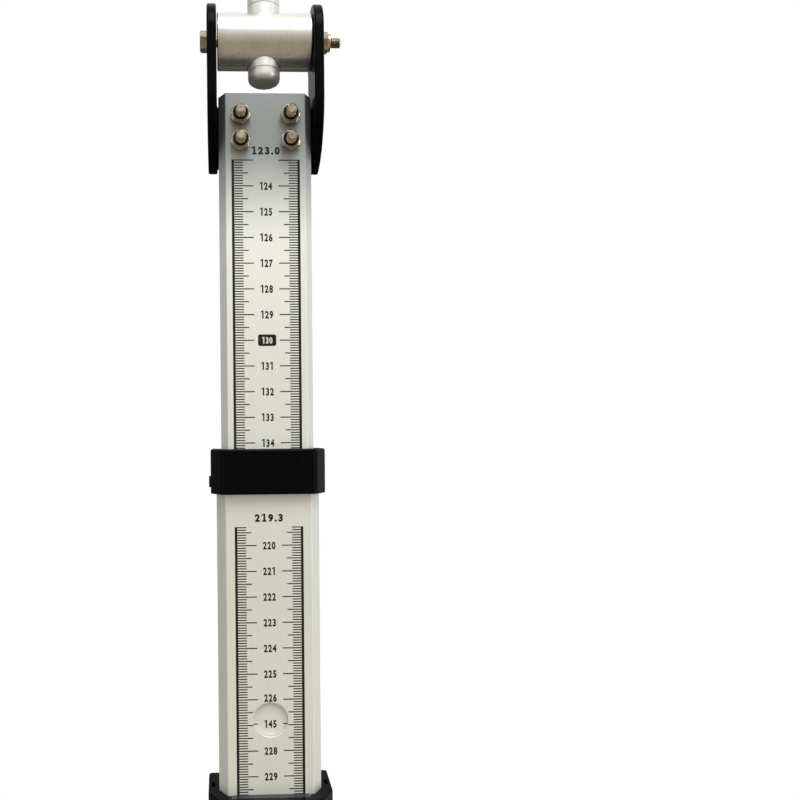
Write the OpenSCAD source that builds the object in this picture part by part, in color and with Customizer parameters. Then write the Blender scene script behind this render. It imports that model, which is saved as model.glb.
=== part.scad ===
// Telescopic levelling staff with five aluminium sections and a swivel head.
// +Z is up, the printed front faces -Y, and the origin is the middle of the foot's underside.
// It stands as photographed: each section is drawn out by its own extension.

/* [Sections] */
// Width of the base section
base_width = 52.5; // [50:0.5:56]
// Depth of the base section
base_depth = 30; // [29:0.5:33]
// Width of the flat front face of the base section
base_flat = 40.4; // [39:0.2:42]
// Wall of every section
tube_wall = 1.4; // [1.2:0.1:1.5]
// Air between one section and the next, on every side
tube_gap = 0.6; // [0.55:0.05:0.7]

/* [Heights] */
// Height to the top of the innermost section when the staff is pushed together
collapsed_height = 1230; // [1100:10:1300]
// Step between neighbouring collars when the staff is pushed together
collar_pitch = 30.5; // [29:0.5:36]
// Part of the innermost section that stays out above the highest collar
head_stub = 26; // [26:0.5:30]
// Height of the fourth section's lower end when the staff is pushed together
lowest_end = 22; // [20:0.5:30]
// Extra height of the innermost section's lower end
inner_end_extra = 6; // [0:0.5:12]

/* [Pose] */
// How far the innermost section is drawn out
extension_1 = 112.3; // [108:0.1:300]
// How far the second section is drawn out
extension_2 = 104; // [80:1:300]
// How far the third section is drawn out
extension_3 = 131; // [80:1:300]
// How far the fourth section is drawn out
extension_4 = 78; // [60:1:300]

/* [Collars] */
// Height of a collar
collar_height = 17.5; // [17:0.5:20]
// Lip at the collar's top that closes over the tube's end
collar_lip = 3; // [2.5:0.1:3.5]
// Collar wall in front of the flat face
collar_front = 4.15; // [4:0.05:4.6]
// Collar wall on the chamfers
collar_chamfer = 3.2; // [3:0.1:3.4]
// Collar wall at the sides and the back
collar_side = 2.25; // [2:0.05:2.6]
// Radius of the collar's front corners
collar_round = 3; // [2:0.5:4]
// Air between a collar's lip and the section that slides in it
lip_gap = 0.3; // [0.2:0.05:0.4]
// Width of the glide pad let into the front of each lip
pad_width = 30; // [26:0.5:31]
// Depth of the glide pad's head, front to back
pad_depth = 3.1; // [3:0.05:3.3]
// Air between the glide pad and the section that it guides
pad_gap = 0.15; // [0.1:0.05:0.2]
// Width of the slit left round the pad
pad_slit = 0.4; // [0.3:0.05:0.5]
// Height of the pad with its leg
pad_height = 12; // [10:0.5:13]
// Length of the relief slot in the lip at each side
slot_length = 4.5; // [4:0.5:6]
// Width of that slot
slot_width = 1.4; // [1.2:0.1:1.6]
// Depth of that slot
slot_depth = 2; // [1.5:0.1:2.2]

/* [Collar screws] */
// Diameter of a collar screw's head
screw_head = 4.6; // [4.2:0.1:5]
// Height of the head above its seat
screw_head_height = 1.6; // [1.5:0.1:1.7]
// How far the heads of the two upper collars stand proud
screw_proud = 0.8; // [0.5:0.1:0.8]
// Diameter of the screw's shank
screw_shank = 2.5; // [2:0.1:2.9]
// Length of the screw below its head
screw_length = 2.6; // [2.4:0.1:2.6]
// Distance of the screw's axis below the collar's top
screw_drop = 13.2; // [12:0.1:14]

/* [Lock buttons] */
// Diameter of the hole in which a button locks
lock_hole = 13.8; // [13:0.1:14]
// Distance of that hole below the collar's top
lock_drop = 105.5; // [90:0.5:120]
// Diameter of the button
button_size = 13.2; // [12.4:0.1:13.4]
// Length of the button, front to back
button_length = 7.5; // [7:0.1:7.6]
// Air between the button's face and the outer section's wall
button_gap = 0.1; // [0.05:0.05:0.15]
// Further inward travel left to the pressed button
button_travel = 1.2; // [0.8:0.1:1.2]
// Width of the rim that keeps the button in its tube
button_rim = 1; // [0.8:0.1:1.1]
// Thickness of that rim
button_rim_height = 1.2; // [1:0.1:1.3]
// Height of the button's axis above the tube's lower end
button_height = 16; // [14:0.5:17]
// Outer diameter of the button's spring
spring_size = 8.4; // [7.5:0.1:8.6]
// Diameter of the spring's wire
spring_wire = 0.7; // [0.5:0.05:0.8]
// Number of turns of the spring
spring_turns = 5; // [3:1:6]

/* [Guides] */
// Height of the guide inside the tube's lower end
guide_height = 26; // [25:0.5:28]
// Height of the guide's flange below the tube
guide_flange = 3; // [2.5:0.5:4]
// Air between the flange and the outer section
guide_gap = 0.2; // [0.15:0.05:0.25]

/* [Foot] */
// Thickness of the steel plate under the foot
foot_plate_height = 3; // [2:0.5:4]
// Floor of the plastic foot
cap_floor = 5; // [4:0.5:6]
// Height of the skirt round the base section, above the floor
cap_skirt = 20; // [15:1:30]
// Wall of the skirt
cap_wall = 2.25; // [2:0.05:3]
// Height of the foot's plug inside the base section
cap_plug = 8; // [6:0.5:8]
// Radius of the foot's corners
cap_round = 1.5; // [1:0.5:3]
// Distance between the two foot screws
foot_screw_pitch = 26; // [20:1:30]
// Diameter of a foot screw's head
foot_screw_head = 7.6; // [7:0.1:8]
// Diameter of a foot screw
foot_screw_size = 4; // [3.5:0.1:4.5]
// Length of a foot screw
foot_screw_length = 13; // [10:0.5:14]

/* [Head bracket] */
// Gap between the bracket's two ears
ear_gap = 37.5; // [37.5:0.1:38.5]
// Thickness of the bracket's sheet
bracket_sheet = 3.7; // [3:0.1:4]
// Height of the pivot above the innermost section's top
pivot_height = 23; // [22:0.5:28]
// Radius of the ear round the pivot
ear_radius = 13.5; // [12:0.5:14]
// How far the ears reach below the section's top
ear_drop = 26; // [25:0.5:28]
// Height of the web behind the section
web_height = 24; // [23:0.5:25]
// Height of the plug in the section's top end
plug_height = 24; // [23:0.5:28]

/* [Head fasteners] */
// Diameter of the head's bolts
bolt_size = 4; // [3.5:0.1:4]
// Air round a bolt that only clamps
bolt_gap = 0.1; // [0.05:0.05:0.2]
// Distance between the two columns of bolts
bolt_columns = 19.4; // [18:0.2:21]
// Depth of the upper row of bolts below the section's top
bolt_row = 9; // [8:0.5:9]
// Distance between the two rows of bolts
bolt_rows = 10; // [9:0.5:11]
// Width across the flats of heads and nuts
hex_flats = 7; // [6.5:0.1:7.5]
// Height of a bolt's head
bolt_head = 2.8; // [2.5:0.1:3]
// Height of a nut
nut_height = 3.2; // [2.5:0.1:3.4]
// Thickness of a spring washer
spring_washer = 1; // [0.8:0.1:1.2]
// Outer diameter of a washer
washer_size = 7.4; // [7:0.1:8]
// Outer diameter of the pivot's washer
pivot_washer_size = 9.5; // [8:0.1:12]
// Thickness of the pivot's washer
pivot_washer_height = 0.8; // [0.6:0.1:1.2]
// Thread that shows beyond a nut
thread_end = 4; // [1:0.1:4.5]

/* [Swivel] */
// Radius of the roller
roller_radius = 10.5; // [9:0.1:11.5]
// Air at each end of the roller
roller_gap = 0.25; // [0.1:0.05:0.4]
// Diameter of the rod through the roller
rod_size = 12.7; // [12:0.1:13]
// Length of the rod below the pivot
rod_below = 16.7; // [15:0.1:17.5]
// Length of the rod above the pivot
rod_above = 55; // [40:1:80]
// Diameter of the rod's turned-down upper end
spigot_size = 11; // [9:0.1:11]
// Length of that end
spigot_length = 28; // [15:1:30]
// Chamfer at the rod's ends
rod_chamfer = 0.8; // [0.4:0.1:1.5]
// Depth of the fine groove near the rod's lower end
groove_depth = 0.4; // [0.3:0.1:0.8]
// Height of that groove
groove_height = 0.8; // [0.5:0.1:1.2]
// Distance of that groove from the rod's end
groove_place = 4.2; // [3.5:0.1:5]
// Running clearance round the pivot bolt, on the radius
pivot_gap = 0.05; // [0.03:0.01:0.1]

/* [Hidden] */
$fn = 64;

// What seats tight keeps this much air, and a cutter runs past its face by this much
seat_gap = 0.02;
overrun = 1;
// The chamfers slope at this angle to the front face
chamfer_angle = 60;
// A collar's recess for its pad leaves this much air beside the leg
leg_gap = 0.05;
// Floor of the pocket behind each button, measured from the tube's front face
pocket_depth = 9.6;
// Air round the button in its hole and its pocket, on the radius
button_clear = 0.2;
// Wall of the button's face, and air round its spring
button_face = 2;
spring_air = 0.5;
// Air between the button and its spring when the button is pressed home
spring_margin = 0.2;
// Rings in each turn of the spring, and sides of its wire
spring_rings = 8;
wire_sides = 6;

// Inset of section k from the base section's outline, with the base as number 5
nest_pitch = tube_wall + tube_gap;
function inset_of(k) = (5 - k) * nest_pitch;
function depth_of(k) = base_depth - 2 * inset_of(k);
function width_of(k) = base_width - 2 * inset_of(k);
function front_of(k) = -depth_of(k) / 2;

// Heights of each section's collar top, upper end and lower end as it stands
extensions = [0, extension_1, extension_2, extension_3, extension_4, 0];
function drawn(k) = k > 4 ? 0 : extensions[k] + drawn(k + 1);
function collar_top(k) = collapsed_height - head_stub - (k - 2) * collar_pitch + drawn(k);
foot_height = foot_plate_height + cap_floor;
head_top = collapsed_height + drawn(1);
function upper_end(k) = k == 1 ? head_top : collar_top(k) - collar_lip;
function lower_end(k) =
    k == 5 ? foot_height
    : lowest_end + (4 - k) * collar_pitch + (k == 1 ? inner_end_extra : 0) + drawn(k);
pivot_z = head_top + pivot_height;
ear_face = ear_gap / 2;
ear_outside = ear_face + bracket_sheet;
web_back = depth_of(1) / 2 + bracket_sheet;
bolt_front = -depth_of(1) / 2;

// The plan of a section: a flat front, two chamfers, straight sides and a flat back.
// Each face is moved outwards by its own amount, and the corners follow.
flat_reach = sin(chamfer_angle) * base_flat / 2 + cos(chamfer_angle) * base_depth / 2;
function plan(k, front, chamfer, side, back) =
    let (
        near = front_of(k) - front,
        far = depth_of(k) / 2 + back,
        half = width_of(k) / 2 + side,
        reach = flat_reach - inset_of(k) + chamfer,
        corner = (reach + cos(chamfer_angle) * near) / sin(chamfer_angle),
        shoulder = (sin(chamfer_angle) * half - reach) / cos(chamfer_angle)
    )
    [[-corner, near], [corner, near], [half, shoulder], [half, far], [-half, far], [-half, shoulder]];
function even_plan(k, grow) = plan(k, grow, grow, grow, grow);

// A convex outline with each corner rounded to its own radius
function unit(v) = v / norm(v);
function wrap(list, i) = list[(i + len(list)) % len(list)];
module rounded(points, radii) {
    count = len(points);
    corners = [for (i = [0 : count - 1])
        let (
            here = points[i],
            back = unit(wrap(points, i - 1) - here),
            ahead = unit(wrap(points, i + 1) - here),
            half_angle = acos(back * ahead) / 2,
            run = radii[i] / tan(half_angle),
            middle = here + unit(back + ahead) * radii[i] / sin(half_angle)
        )
        [here + back * run, here + ahead * run, middle, radii[i]]];
    polygon([for (c = corners) each [c[0], c[1]]]);
    for (c = corners) translate(c[2]) circle(r = c[3]);
}
module collar_outline(k) {
    small = collar_round / 3;
    rounded(
        plan(k, collar_front, collar_chamfer, collar_side, collar_side),
        [collar_round, collar_round, collar_round, small, small, collar_round]
    );
}
module cap_outline() {
    rounded(even_plan(5, cap_wall), [for (i = [0 : 5]) cap_round]);
}

// Places what is drawn along +Z with its axis along -Y or along +X
module facing_front(x, y, z) {
    translate([x, y, z]) rotate([90, 0, 0]) children();
}
module facing_right(x, y, z) {
    translate([x, y, z]) rotate([0, 90, 0]) children();
}
// The side screw enters from the left and the other from the back
module at_collar_screws(k, sink) {
    z = collar_top(k) - screw_drop;
    side_y = depth_of(k) / 4;
    facing_right(-width_of(k) / 2 - collar_side + sink, side_y, z) children();
    facing_front(0, depth_of(k) / 2 + collar_side - sink, z) children();
}

module hexagon(flats, height) {
    cylinder(d = flats / cos(30), h = height, $fn = 6);
}
module nut(flats, height, bore) {
    difference() {
        intersection() {
            hexagon(flats, height);
            cylinder(d1 = flats, d2 = flats + 2 * height, h = height);
            cylinder(d1 = flats + 2 * height, d2 = flats, h = height);
        }
        translate([0, 0, -overrun]) cylinder(d = bore, h = height + 2 * overrun);
    }
}

// A section: an extruded tube with its lock holes and screw holes
module section_tube(k) {
    low = lower_end(k);
    high = upper_end(k);
    difference() {
        translate([0, 0, low]) linear_extrude(high - low) polygon(even_plan(k, 0));
        translate([0, 0, low - overrun])
            linear_extrude(high - low + 2 * overrun) polygon(even_plan(k, -tube_wall));
        if (k > 1) {
            facing_front(0, 0, collar_top(k) - lock_drop)
                cylinder(d = lock_hole, h = base_depth);
            at_collar_screws(k, 0)
                cylinder(d = screw_shank + 2 * seat_gap, h = collar_side + tube_wall + overrun);
        }
        if (k < 5)
            facing_front(0, 0, low + button_height)
                cylinder(r = button_size / 2 + button_clear, h = base_depth);
        if (k == 1)
            at_bracket_bolts(depth_of(1)) cylinder(d = bolt_size + 2 * bolt_gap, h = 2 * depth_of(1));
    }
}
module aluminium_tube(k) {
    color("silver") section_tube(k);
}

// A collar: a moulded shell on the section's upper end, with a lip round the next section
module collar(k) {
    top = collar_top(k);
    half_slot = width_of(k) / 2 + slot_width / 4;
    color("black") difference() {
        translate([0, 0, top - collar_height]) linear_extrude(collar_height) collar_outline(k);
        translate([0, 0, top - collar_height - overrun])
            linear_extrude(collar_height - collar_lip + overrun) polygon(even_plan(k, seat_gap));
        translate([0, 0, top - collar_lip - overrun])
            linear_extrude(collar_lip + 2 * overrun) polygon(even_plan(k - 1, lip_gap));
        pad_recess(k);
        for (side = [-1, 1])
            translate([side * half_slot - slot_width / 2, -slot_length / 4, top - slot_depth])
                cube([slot_width, slot_length, slot_depth + overrun]);
        at_collar_screws(k, -overrun)
            cylinder(d = screw_shank + 2 * seat_gap, h = collar_side + 2 * overrun);
        at_collar_screws(k, -overrun)
            cylinder(d = screw_head + 2 * seat_gap, h = head_sink(k) + overrun);
    }
}
// How deep a screw's head sits below the collar's face
function head_sink(k) = screw_head_height - (k < 4 ? screw_proud : 0);

// The glide pad: a head in the lip and a leg down the front of the tube
module pad_recess(k) {
    near = front_of(k - 1) - pad_gap - pad_depth - pad_slit;
    width = pad_width + 2 * pad_slit;
    translate([-width / 2, near, collar_top(k) - pad_height - pad_slit])
        cube([width, front_of(k - 1) - near, pad_height + pad_slit + overrun]);
}
module pad(k) {
    top = collar_top(k);
    near = front_of(k - 1) - pad_gap - pad_depth;
    leg = front_of(k) - leg_gap - near;
    color("dimgray") difference() {
        union() {
            translate([-pad_width / 2, near, top - collar_lip])
                cube([pad_width, pad_depth, collar_lip]);
            translate([-pad_width / 2, near, top - pad_height])
                cube([pad_width, leg, pad_height]);
        }
        translate([0, 0, top - pad_height - overrun])
            linear_extrude(pad_height + 2 * overrun) polygon(even_plan(k - 1, pad_gap));
    }
}

module collar_screws(k) {
    sink = head_sink(k);
    color("lightgray") at_collar_screws(k, sink) collar_screw();
}
module collar_screw() {
    slot = screw_head / 5;
    difference() {
        union() {
            translate([0, 0, -screw_head_height]) cylinder(d = screw_head, h = screw_head_height);
            cylinder(d = screw_shank, h = screw_length);
        }
        for (turn = [0, 90])
            rotate([0, 0, turn])
                translate([-screw_head / 3, -slot / 2, -screw_head_height - overrun])
                    cube([screw_head * 2 / 3, slot, overrun + screw_head_height / 2]);
    }
}

// The guide in a section's lower end, with the pocket for its lock button
module guide(k) {
    low = lower_end(k);
    pocket_radius = button_size / 2 + button_rim + button_clear;
    color("dimgray") difference() {
        union() {
            translate([0, 0, low - guide_flange])
                linear_extrude(guide_flange) polygon(even_plan(k, tube_gap - guide_gap));
            translate([0, 0, low])
                linear_extrude(guide_height) polygon(even_plan(k, -tube_wall - seat_gap));
        }
        facing_front(0, front_of(k) + pocket_depth, low + button_height)
            cylinder(r = pocket_radius, h = pocket_depth + overrun);
    }
}
button_start = -tube_gap + button_gap;
module lock_button(k) {
    hollow = spring_size / 2 + spring_air;
    rim_place = 2 * tube_wall + button_rim_height;
    color("darkorange")
        facing_front(0, front_of(k) + button_start + button_length, lower_end(k) + button_height)
            difference() {
                union() {
                    cylinder(d = button_size, h = button_length);
                    translate([0, 0, button_length + button_start - rim_place])
                        cylinder(r = button_size / 2 + button_rim, h = button_rim_height);
                }
                translate([0, 0, -overrun])
                    cylinder(r = hollow, h = button_length - button_face + overrun);
            }
}

// The spring stands on the pocket's floor, drawn as short as the pressed button can make it
spring_length = pocket_depth - button_start - button_face - button_travel - spring_margin;
function coil_point(turn) =
    let (
        radius = (spring_size - spring_wire) / 2,
        rise = spring_wire / 2 + (spring_length - spring_wire) * turn / spring_turns
    )
    [radius * cos(360 * turn), radius * sin(360 * turn), rise];
function coil_ring(turn) =
    let (
        centre = coil_point(turn),
        outward = [cos(360 * turn), sin(360 * turn), 0]
    )
    [for (s = [0 : wire_sides - 1])
        let (a = 360 * s / wire_sides)
        centre + spring_wire / 2 * (cos(a) * outward + sin(a) * [0, 0, 1])];
module spring() {
    rings = spring_turns * spring_rings;
    points = [for (r = [0 : rings]) each coil_ring(r / spring_rings)];
    last = rings * wire_sides;
    sides = [for (r = [0 : rings - 1], s = [0 : wire_sides - 1])
        let (
            a = r * wire_sides + s,
            b = r * wire_sides + (s + 1) % wire_sides
        )
        each [[a, b, b + wire_sides], [a, b + wire_sides, a + wire_sides]]];
    caps = [for (s = [1 : wire_sides - 2]) each [[0, s + 1, s], [last, last + s, last + s + 1]]];
    polyhedron(points, concat(sides, caps));
}
module button_spring(k) {
    color("gainsboro")
        facing_front(0, front_of(k) + pocket_depth, lower_end(k) + button_height) spring();
}

// The foot: a plastic cap round the base section, and a steel plate screwed under it
module at_foot_screws() {
    for (side = [-1, 1]) translate([side * foot_screw_pitch / 2, 0, 0]) children();
}
module screw_cone(air) {
    head = foot_screw_head / 2 + air;
    shank = foot_screw_size / 2 + air;
    cylinder(r1 = head, r2 = shank, h = head - shank);
}
module base_cap() {
    color("black") difference() {
        translate([0, 0, foot_plate_height]) linear_extrude(cap_floor + cap_skirt) cap_outline();
        difference() {
            translate([0, 0, foot_height])
                linear_extrude(cap_skirt + overrun) polygon(even_plan(5, seat_gap));
            translate([0, 0, foot_height - overrun])
                linear_extrude(cap_plug + overrun) polygon(even_plan(5, -tube_wall - seat_gap));
        }
        at_foot_screws() cylinder(r = foot_screw_size / 2 + seat_gap, h = foot_screw_length + overrun);
    }
}
module foot_plate() {
    color("silver") difference() {
        linear_extrude(foot_plate_height) cap_outline();
        at_foot_screws() {
            translate([0, 0, -overrun])
                cylinder(r = foot_screw_size / 2 + seat_gap, h = foot_plate_height + 2 * overrun);
            screw_cone(seat_gap);
        }
    }
}
module foot_screws() {
    color("lightgray") at_foot_screws() difference() {
        union() {
            screw_cone(0);
            cylinder(d = foot_screw_size, h = foot_screw_length);
        }
        translate([0, 0, -overrun]) hexagon(foot_screw_size * 5 / 8, overrun + foot_plate_height / 2);
    }
}

// The head's bracket: two ears beside the section and a web behind it
module ear_profile() {
    slope = 20;
    bend = web_back + ear_radius;
    blend_y = ear_radius * cos(slope);
    blend_z = pivot_height - ear_radius * sin(slope);
    translate([0, pivot_height]) circle(r = ear_radius);
    translate([-ear_radius, bend - ear_drop]) square([bend, pivot_height + ear_drop - bend]);
    polygon([
        [0, pivot_height], [blend_y, blend_z],
        [web_back, blend_z - (blend_y - web_back) / tan(slope)], [0, 0]
    ]);
    intersection() {
        translate([web_back, bend - ear_drop]) circle(r = bend);
        translate([-ear_radius, -ear_drop]) square([bend, bend]);
    }
}
module bracket() {
    color("black") difference() {
        union() {
            for (x = [-ear_outside, ear_face])
                translate([x, 0, head_top]) rotate([90, 0, 90])
                    linear_extrude(bracket_sheet) ear_profile();
            translate([-ear_outside, depth_of(1) / 2, head_top - web_height])
                cube([2 * ear_outside, bracket_sheet, web_height]);
        }
        facing_right(-ear_outside - overrun, 0, pivot_z)
            cylinder(d = bolt_size + 2 * bolt_gap, h = 2 * (ear_outside + overrun));
        at_bracket_bolts(web_back + overrun)
            cylinder(d = bolt_size + 2 * bolt_gap, h = bracket_sheet + 2 * overrun);
    }
}
module at_bracket_bolts(y) {
    for (side = [-1, 1], row = [0, 1])
        facing_front(side * bolt_columns / 2, y, head_top - bolt_row - row * bolt_rows) children();
}
module top_plug() {
    color("dimgray") difference() {
        translate([0, 0, head_top - plug_height])
            linear_extrude(plug_height) polygon(even_plan(1, -tube_wall - seat_gap));
        at_bracket_bolts(depth_of(1)) cylinder(d = bolt_size + 2 * bolt_gap, h = 2 * depth_of(1));
    }
}
module bracket_bolts() {
    reach = web_back - bolt_front + spring_washer + nut_height + thread_end;
    color("lightgray") at_bracket_bolts(web_back) bolt(reach);
}
module bolt(reach) {
    tip = bolt_size / 8;
    translate([0, 0, -bolt_head]) hexagon(hex_flats, bolt_head);
    cylinder(d = bolt_size, h = reach - tip);
    translate([0, 0, reach - tip]) cylinder(d1 = bolt_size, d2 = bolt_size - 2 * tip, h = tip);
}
module spring_washers() {
    split = spring_washer * 3 / 4;
    color("lightgray") at_bracket_bolts(bolt_front) difference() {
        cylinder(d = washer_size, h = spring_washer);
        translate([0, 0, -overrun])
            cylinder(d = bolt_size + 2 * bolt_gap, h = spring_washer + 2 * overrun);
        rotate([0, 0, 110]) translate([0, -split / 2, -overrun])
            cube([washer_size, split, spring_washer + 2 * overrun]);
    }
}
module bracket_nuts() {
    color("lightgray") at_bracket_bolts(bolt_front - spring_washer)
        nut(hex_flats, nut_height, bolt_size + 2 * seat_gap);
}

// The swivel: a roller between the ears with a rod through it
module roller() {
    length = ear_gap - 2 * roller_gap;
    edge = roller_gap * 2;
    color("silver") difference() {
        facing_right(-length / 2, 0, pivot_z) rotate_extrude()
            polygon([
                [0, 0], [roller_radius - edge, 0], [roller_radius, edge],
                [roller_radius, length - edge], [roller_radius - edge, length], [0, length]
            ]);
        facing_right(-length, 0, pivot_z)
            cylinder(r = bolt_size / 2 + pivot_gap, h = 2 * length);
        translate([0, 0, pivot_z - 2 * roller_radius])
            cylinder(r = rod_size / 2 + pivot_gap, h = 4 * roller_radius);
    }
}
module cross_rod() {
    radius = rod_size / 2;
    length = rod_below + rod_above;
    shoulder = length - spigot_length;
    neck = radius - groove_depth;
    tip = spigot_size / 2;
    color("gainsboro") difference() {
        translate([0, 0, pivot_z - rod_below]) rotate_extrude()
            polygon([
                [0, 0], [radius - rod_chamfer, 0], [radius, rod_chamfer],
                [radius, groove_place], [neck, groove_place],
                [neck, groove_place + groove_height], [radius, groove_place + groove_height],
                [radius, shoulder], [tip, shoulder],
                [tip, length - rod_chamfer], [tip - rod_chamfer, length], [0, length]
            ]);
        facing_right(-rod_size, 0, pivot_z)
            cylinder(r = bolt_size / 2 + pivot_gap, h = 2 * rod_size);
    }
}
module pivot_bolt() {
    reach = 2 * ear_outside + pivot_washer_height + nut_height + thread_end;
    color("lightgray") facing_right(-ear_outside, 0, pivot_z) bolt(reach);
}
module pivot_washer() {
    color("lightgray") facing_right(ear_outside, 0, pivot_z) difference() {
        cylinder(d = pivot_washer_size, h = pivot_washer_height);
        translate([0, 0, -overrun])
            cylinder(d = bolt_size + 2 * bolt_gap, h = pivot_washer_height + 2 * overrun);
    }
}
module pivot_nut() {
    color("lightgray") facing_right(ear_outside + pivot_washer_height, 0, pivot_z)
        nut(hex_flats, nut_height, bolt_size + 2 * seat_gap);
}

aluminium_tube(5);  // base_tube
aluminium_tube(4);  // tube_4
aluminium_tube(3);  // tube_3
aluminium_tube(2);  // tube_2
aluminium_tube(1);  // tube_1
collar(5);  // collar_d
collar(4);  // collar_c
collar(3);  // collar_b
collar(2);  // collar_a
pad(5);  // pad_d
pad(4);  // pad_c
pad(3);  // pad_b
pad(2);  // pad_a
collar_screws(5);  // collar_screws_d
collar_screws(4);  // collar_screws_c
collar_screws(3);  // collar_screws_b
collar_screws(2);  // collar_screws_a
guide(4);  // guide_4
guide(3);  // guide_3
guide(2);  // guide_2
guide(1);  // guide_1
lock_button(4);  // lock_button_4
lock_button(3);  // lock_button_3
lock_button(2);  // lock_button_2
lock_button(1);  // lock_button_1
button_spring(4);  // button_spring_4
button_spring(3);  // button_spring_3
button_spring(2);  // button_spring_2
button_spring(1);  // button_spring_1
base_cap();
foot_plate();
foot_screws();
bracket();
top_plug();
bracket_bolts();
spring_washers();
bracket_nuts();
roller();
cross_rod();
pivot_bolt();
pivot_washer();
pivot_nut();
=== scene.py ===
"""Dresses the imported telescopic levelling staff: finishes, scales, fasteners, light and camera.

Everything is in metres in the part's own frame: +Z up the staff, -Y the printed front.
"""

import logging
import math
from dataclasses import dataclass, field
from enum import Enum

import bmesh
import bpy
import numpy as np
from mathutils import Matrix, Vector


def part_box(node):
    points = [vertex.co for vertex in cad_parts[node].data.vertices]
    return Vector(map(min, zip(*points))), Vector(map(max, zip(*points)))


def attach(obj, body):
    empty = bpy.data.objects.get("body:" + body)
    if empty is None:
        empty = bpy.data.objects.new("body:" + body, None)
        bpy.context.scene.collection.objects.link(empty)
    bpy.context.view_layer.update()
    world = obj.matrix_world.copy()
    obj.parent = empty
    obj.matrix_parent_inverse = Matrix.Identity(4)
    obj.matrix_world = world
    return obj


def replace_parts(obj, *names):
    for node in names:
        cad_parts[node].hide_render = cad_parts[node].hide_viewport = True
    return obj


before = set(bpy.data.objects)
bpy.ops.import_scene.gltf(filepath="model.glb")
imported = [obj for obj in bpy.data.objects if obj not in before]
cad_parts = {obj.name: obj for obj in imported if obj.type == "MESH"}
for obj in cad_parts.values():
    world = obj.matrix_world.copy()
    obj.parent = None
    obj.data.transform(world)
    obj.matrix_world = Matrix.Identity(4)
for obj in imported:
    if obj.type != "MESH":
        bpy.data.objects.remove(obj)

Colour = tuple[float, float, float]
Socket = bpy.types.NodeSocket
Stops = tuple[tuple[float, Colour], ...]

MM = 0.001
X, Y, Z = Vector((1, 0, 0)), Vector((0, 1, 0)), Vector((0, 0, 1))
MERGE = 1e-7
OVER = 2 * MM
GRAIN_SHARE = 0.45
COLOUR_ENDS = (0.35, 0.65)
BUMP_STRENGTH = 0.6
LEAST_ROUGHNESS = 0.02
GRAIN_DETAIL = 4.0
CLOUD_DETAIL = 2.0
PRINT_CREASE = 60.0
BASE_FLAT = 40.4 * MM
MATERIALS: dict[str, bpy.types.Material] = {}
log = logging.getLogger("levelling_staff")


class Grain(Enum):
    """How the fine pattern of a finish runs."""

    DRAWN = (1.0, 1.0, 0.004)
    TURNED_ACROSS = (1.0, 0.02, 0.02)
    TURNED_UP = (0.02, 0.02, 1.0)
    MOULDED = (1.0, 1.0, 1.0)


@dataclass(frozen=True)
class NodeBench:
    """A node tree, with short ways to add nodes and to feed their inputs."""

    tree: bpy.types.NodeTree

    def feed(self, node: bpy.types.Node, inputs: dict[str | int, object]) -> None:
        """Links or sets a node's inputs.

        Args:
            node: the node.
            inputs: the socket that feeds an input, or its plain value, by name or number.
        """
        for name, value in inputs.items():
            if isinstance(value, Socket):
                self.tree.links.new(value, node.inputs[name])
            else:
                node.inputs[name].default_value = value

    def add(
        self, kind: str, inputs: dict[str | int, object] | None = None, **settings: str
    ) -> bpy.types.Node:
        """Adds a node.

        Args:
            kind: its type, without the "ShaderNode" before it.
            inputs: what feeds its inputs.
            **settings: its own properties.

        Returns:
            The node.
        """
        made = self.tree.nodes.new("ShaderNode" + kind)
        for name, value in settings.items():
            setattr(made, name, value)
        self.feed(made, inputs or {})
        return made

    def ramp(self, value: Socket, stops: Stops) -> Socket:
        """Adds a colour ramp.

        Args:
            value: the socket that is looked up, from 0 to 1.
            stops: pairs of value and colour, in rising order.

        Returns:
            The colour.
        """
        made = self.add("ValToRGB", {"Fac": value})
        marks = made.color_ramp.elements
        while len(marks) < len(stops):
            marks.new(0.5)
        for mark, (place, colour) in zip(marks, stops):
            mark.position = place
            mark.color = (*colour, 1.0)
        return made.outputs["Color"]

    def wide_ramp(self, value: Socket, stops: Stops) -> Socket:
        """Adds a colour ramp over values from -1 to 1.

        Args:
            value: the socket that is looked up.
            stops: pairs of value and colour, in rising order.

        Returns:
            The colour.
        """
        spread = self.add("MapRange", {"Value": value, "From Min": -1})
        moved = tuple(((place + 1) / 2, colour) for place, colour in stops)
        return self.ramp(spread.outputs["Result"], moved)

    def mix(
        self, kind: str, share: Socket | float, first: Socket, second: Socket | tuple
    ) -> Socket:
        """Adds a colour mix.

        Args:
            kind: the kind of mix.
            share: how much of the second colour is taken.
            first: the first colour.
            second: the second colour.

        Returns:
            The mixed colour.
        """
        feeds = {"Factor": share, "A": first, "B": second}
        return self.add("Mix", feeds, data_type="RGBA", blend_type=kind).outputs["Result"]

    def for_camera(self, others: Socket, camera: Socket) -> Socket:
        """Shows one shader to the camera and another to all other rays.

        Args:
            others: the shader for all other rays.
            camera: the shader for camera rays.

        Returns:
            The shader that picks between them.
        """
        seen = self.add("LightPath").outputs["Is Camera Ray"]
        return self.add("MixShader", {0: seen, 1: others, 2: camera}).outputs[0]


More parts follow.
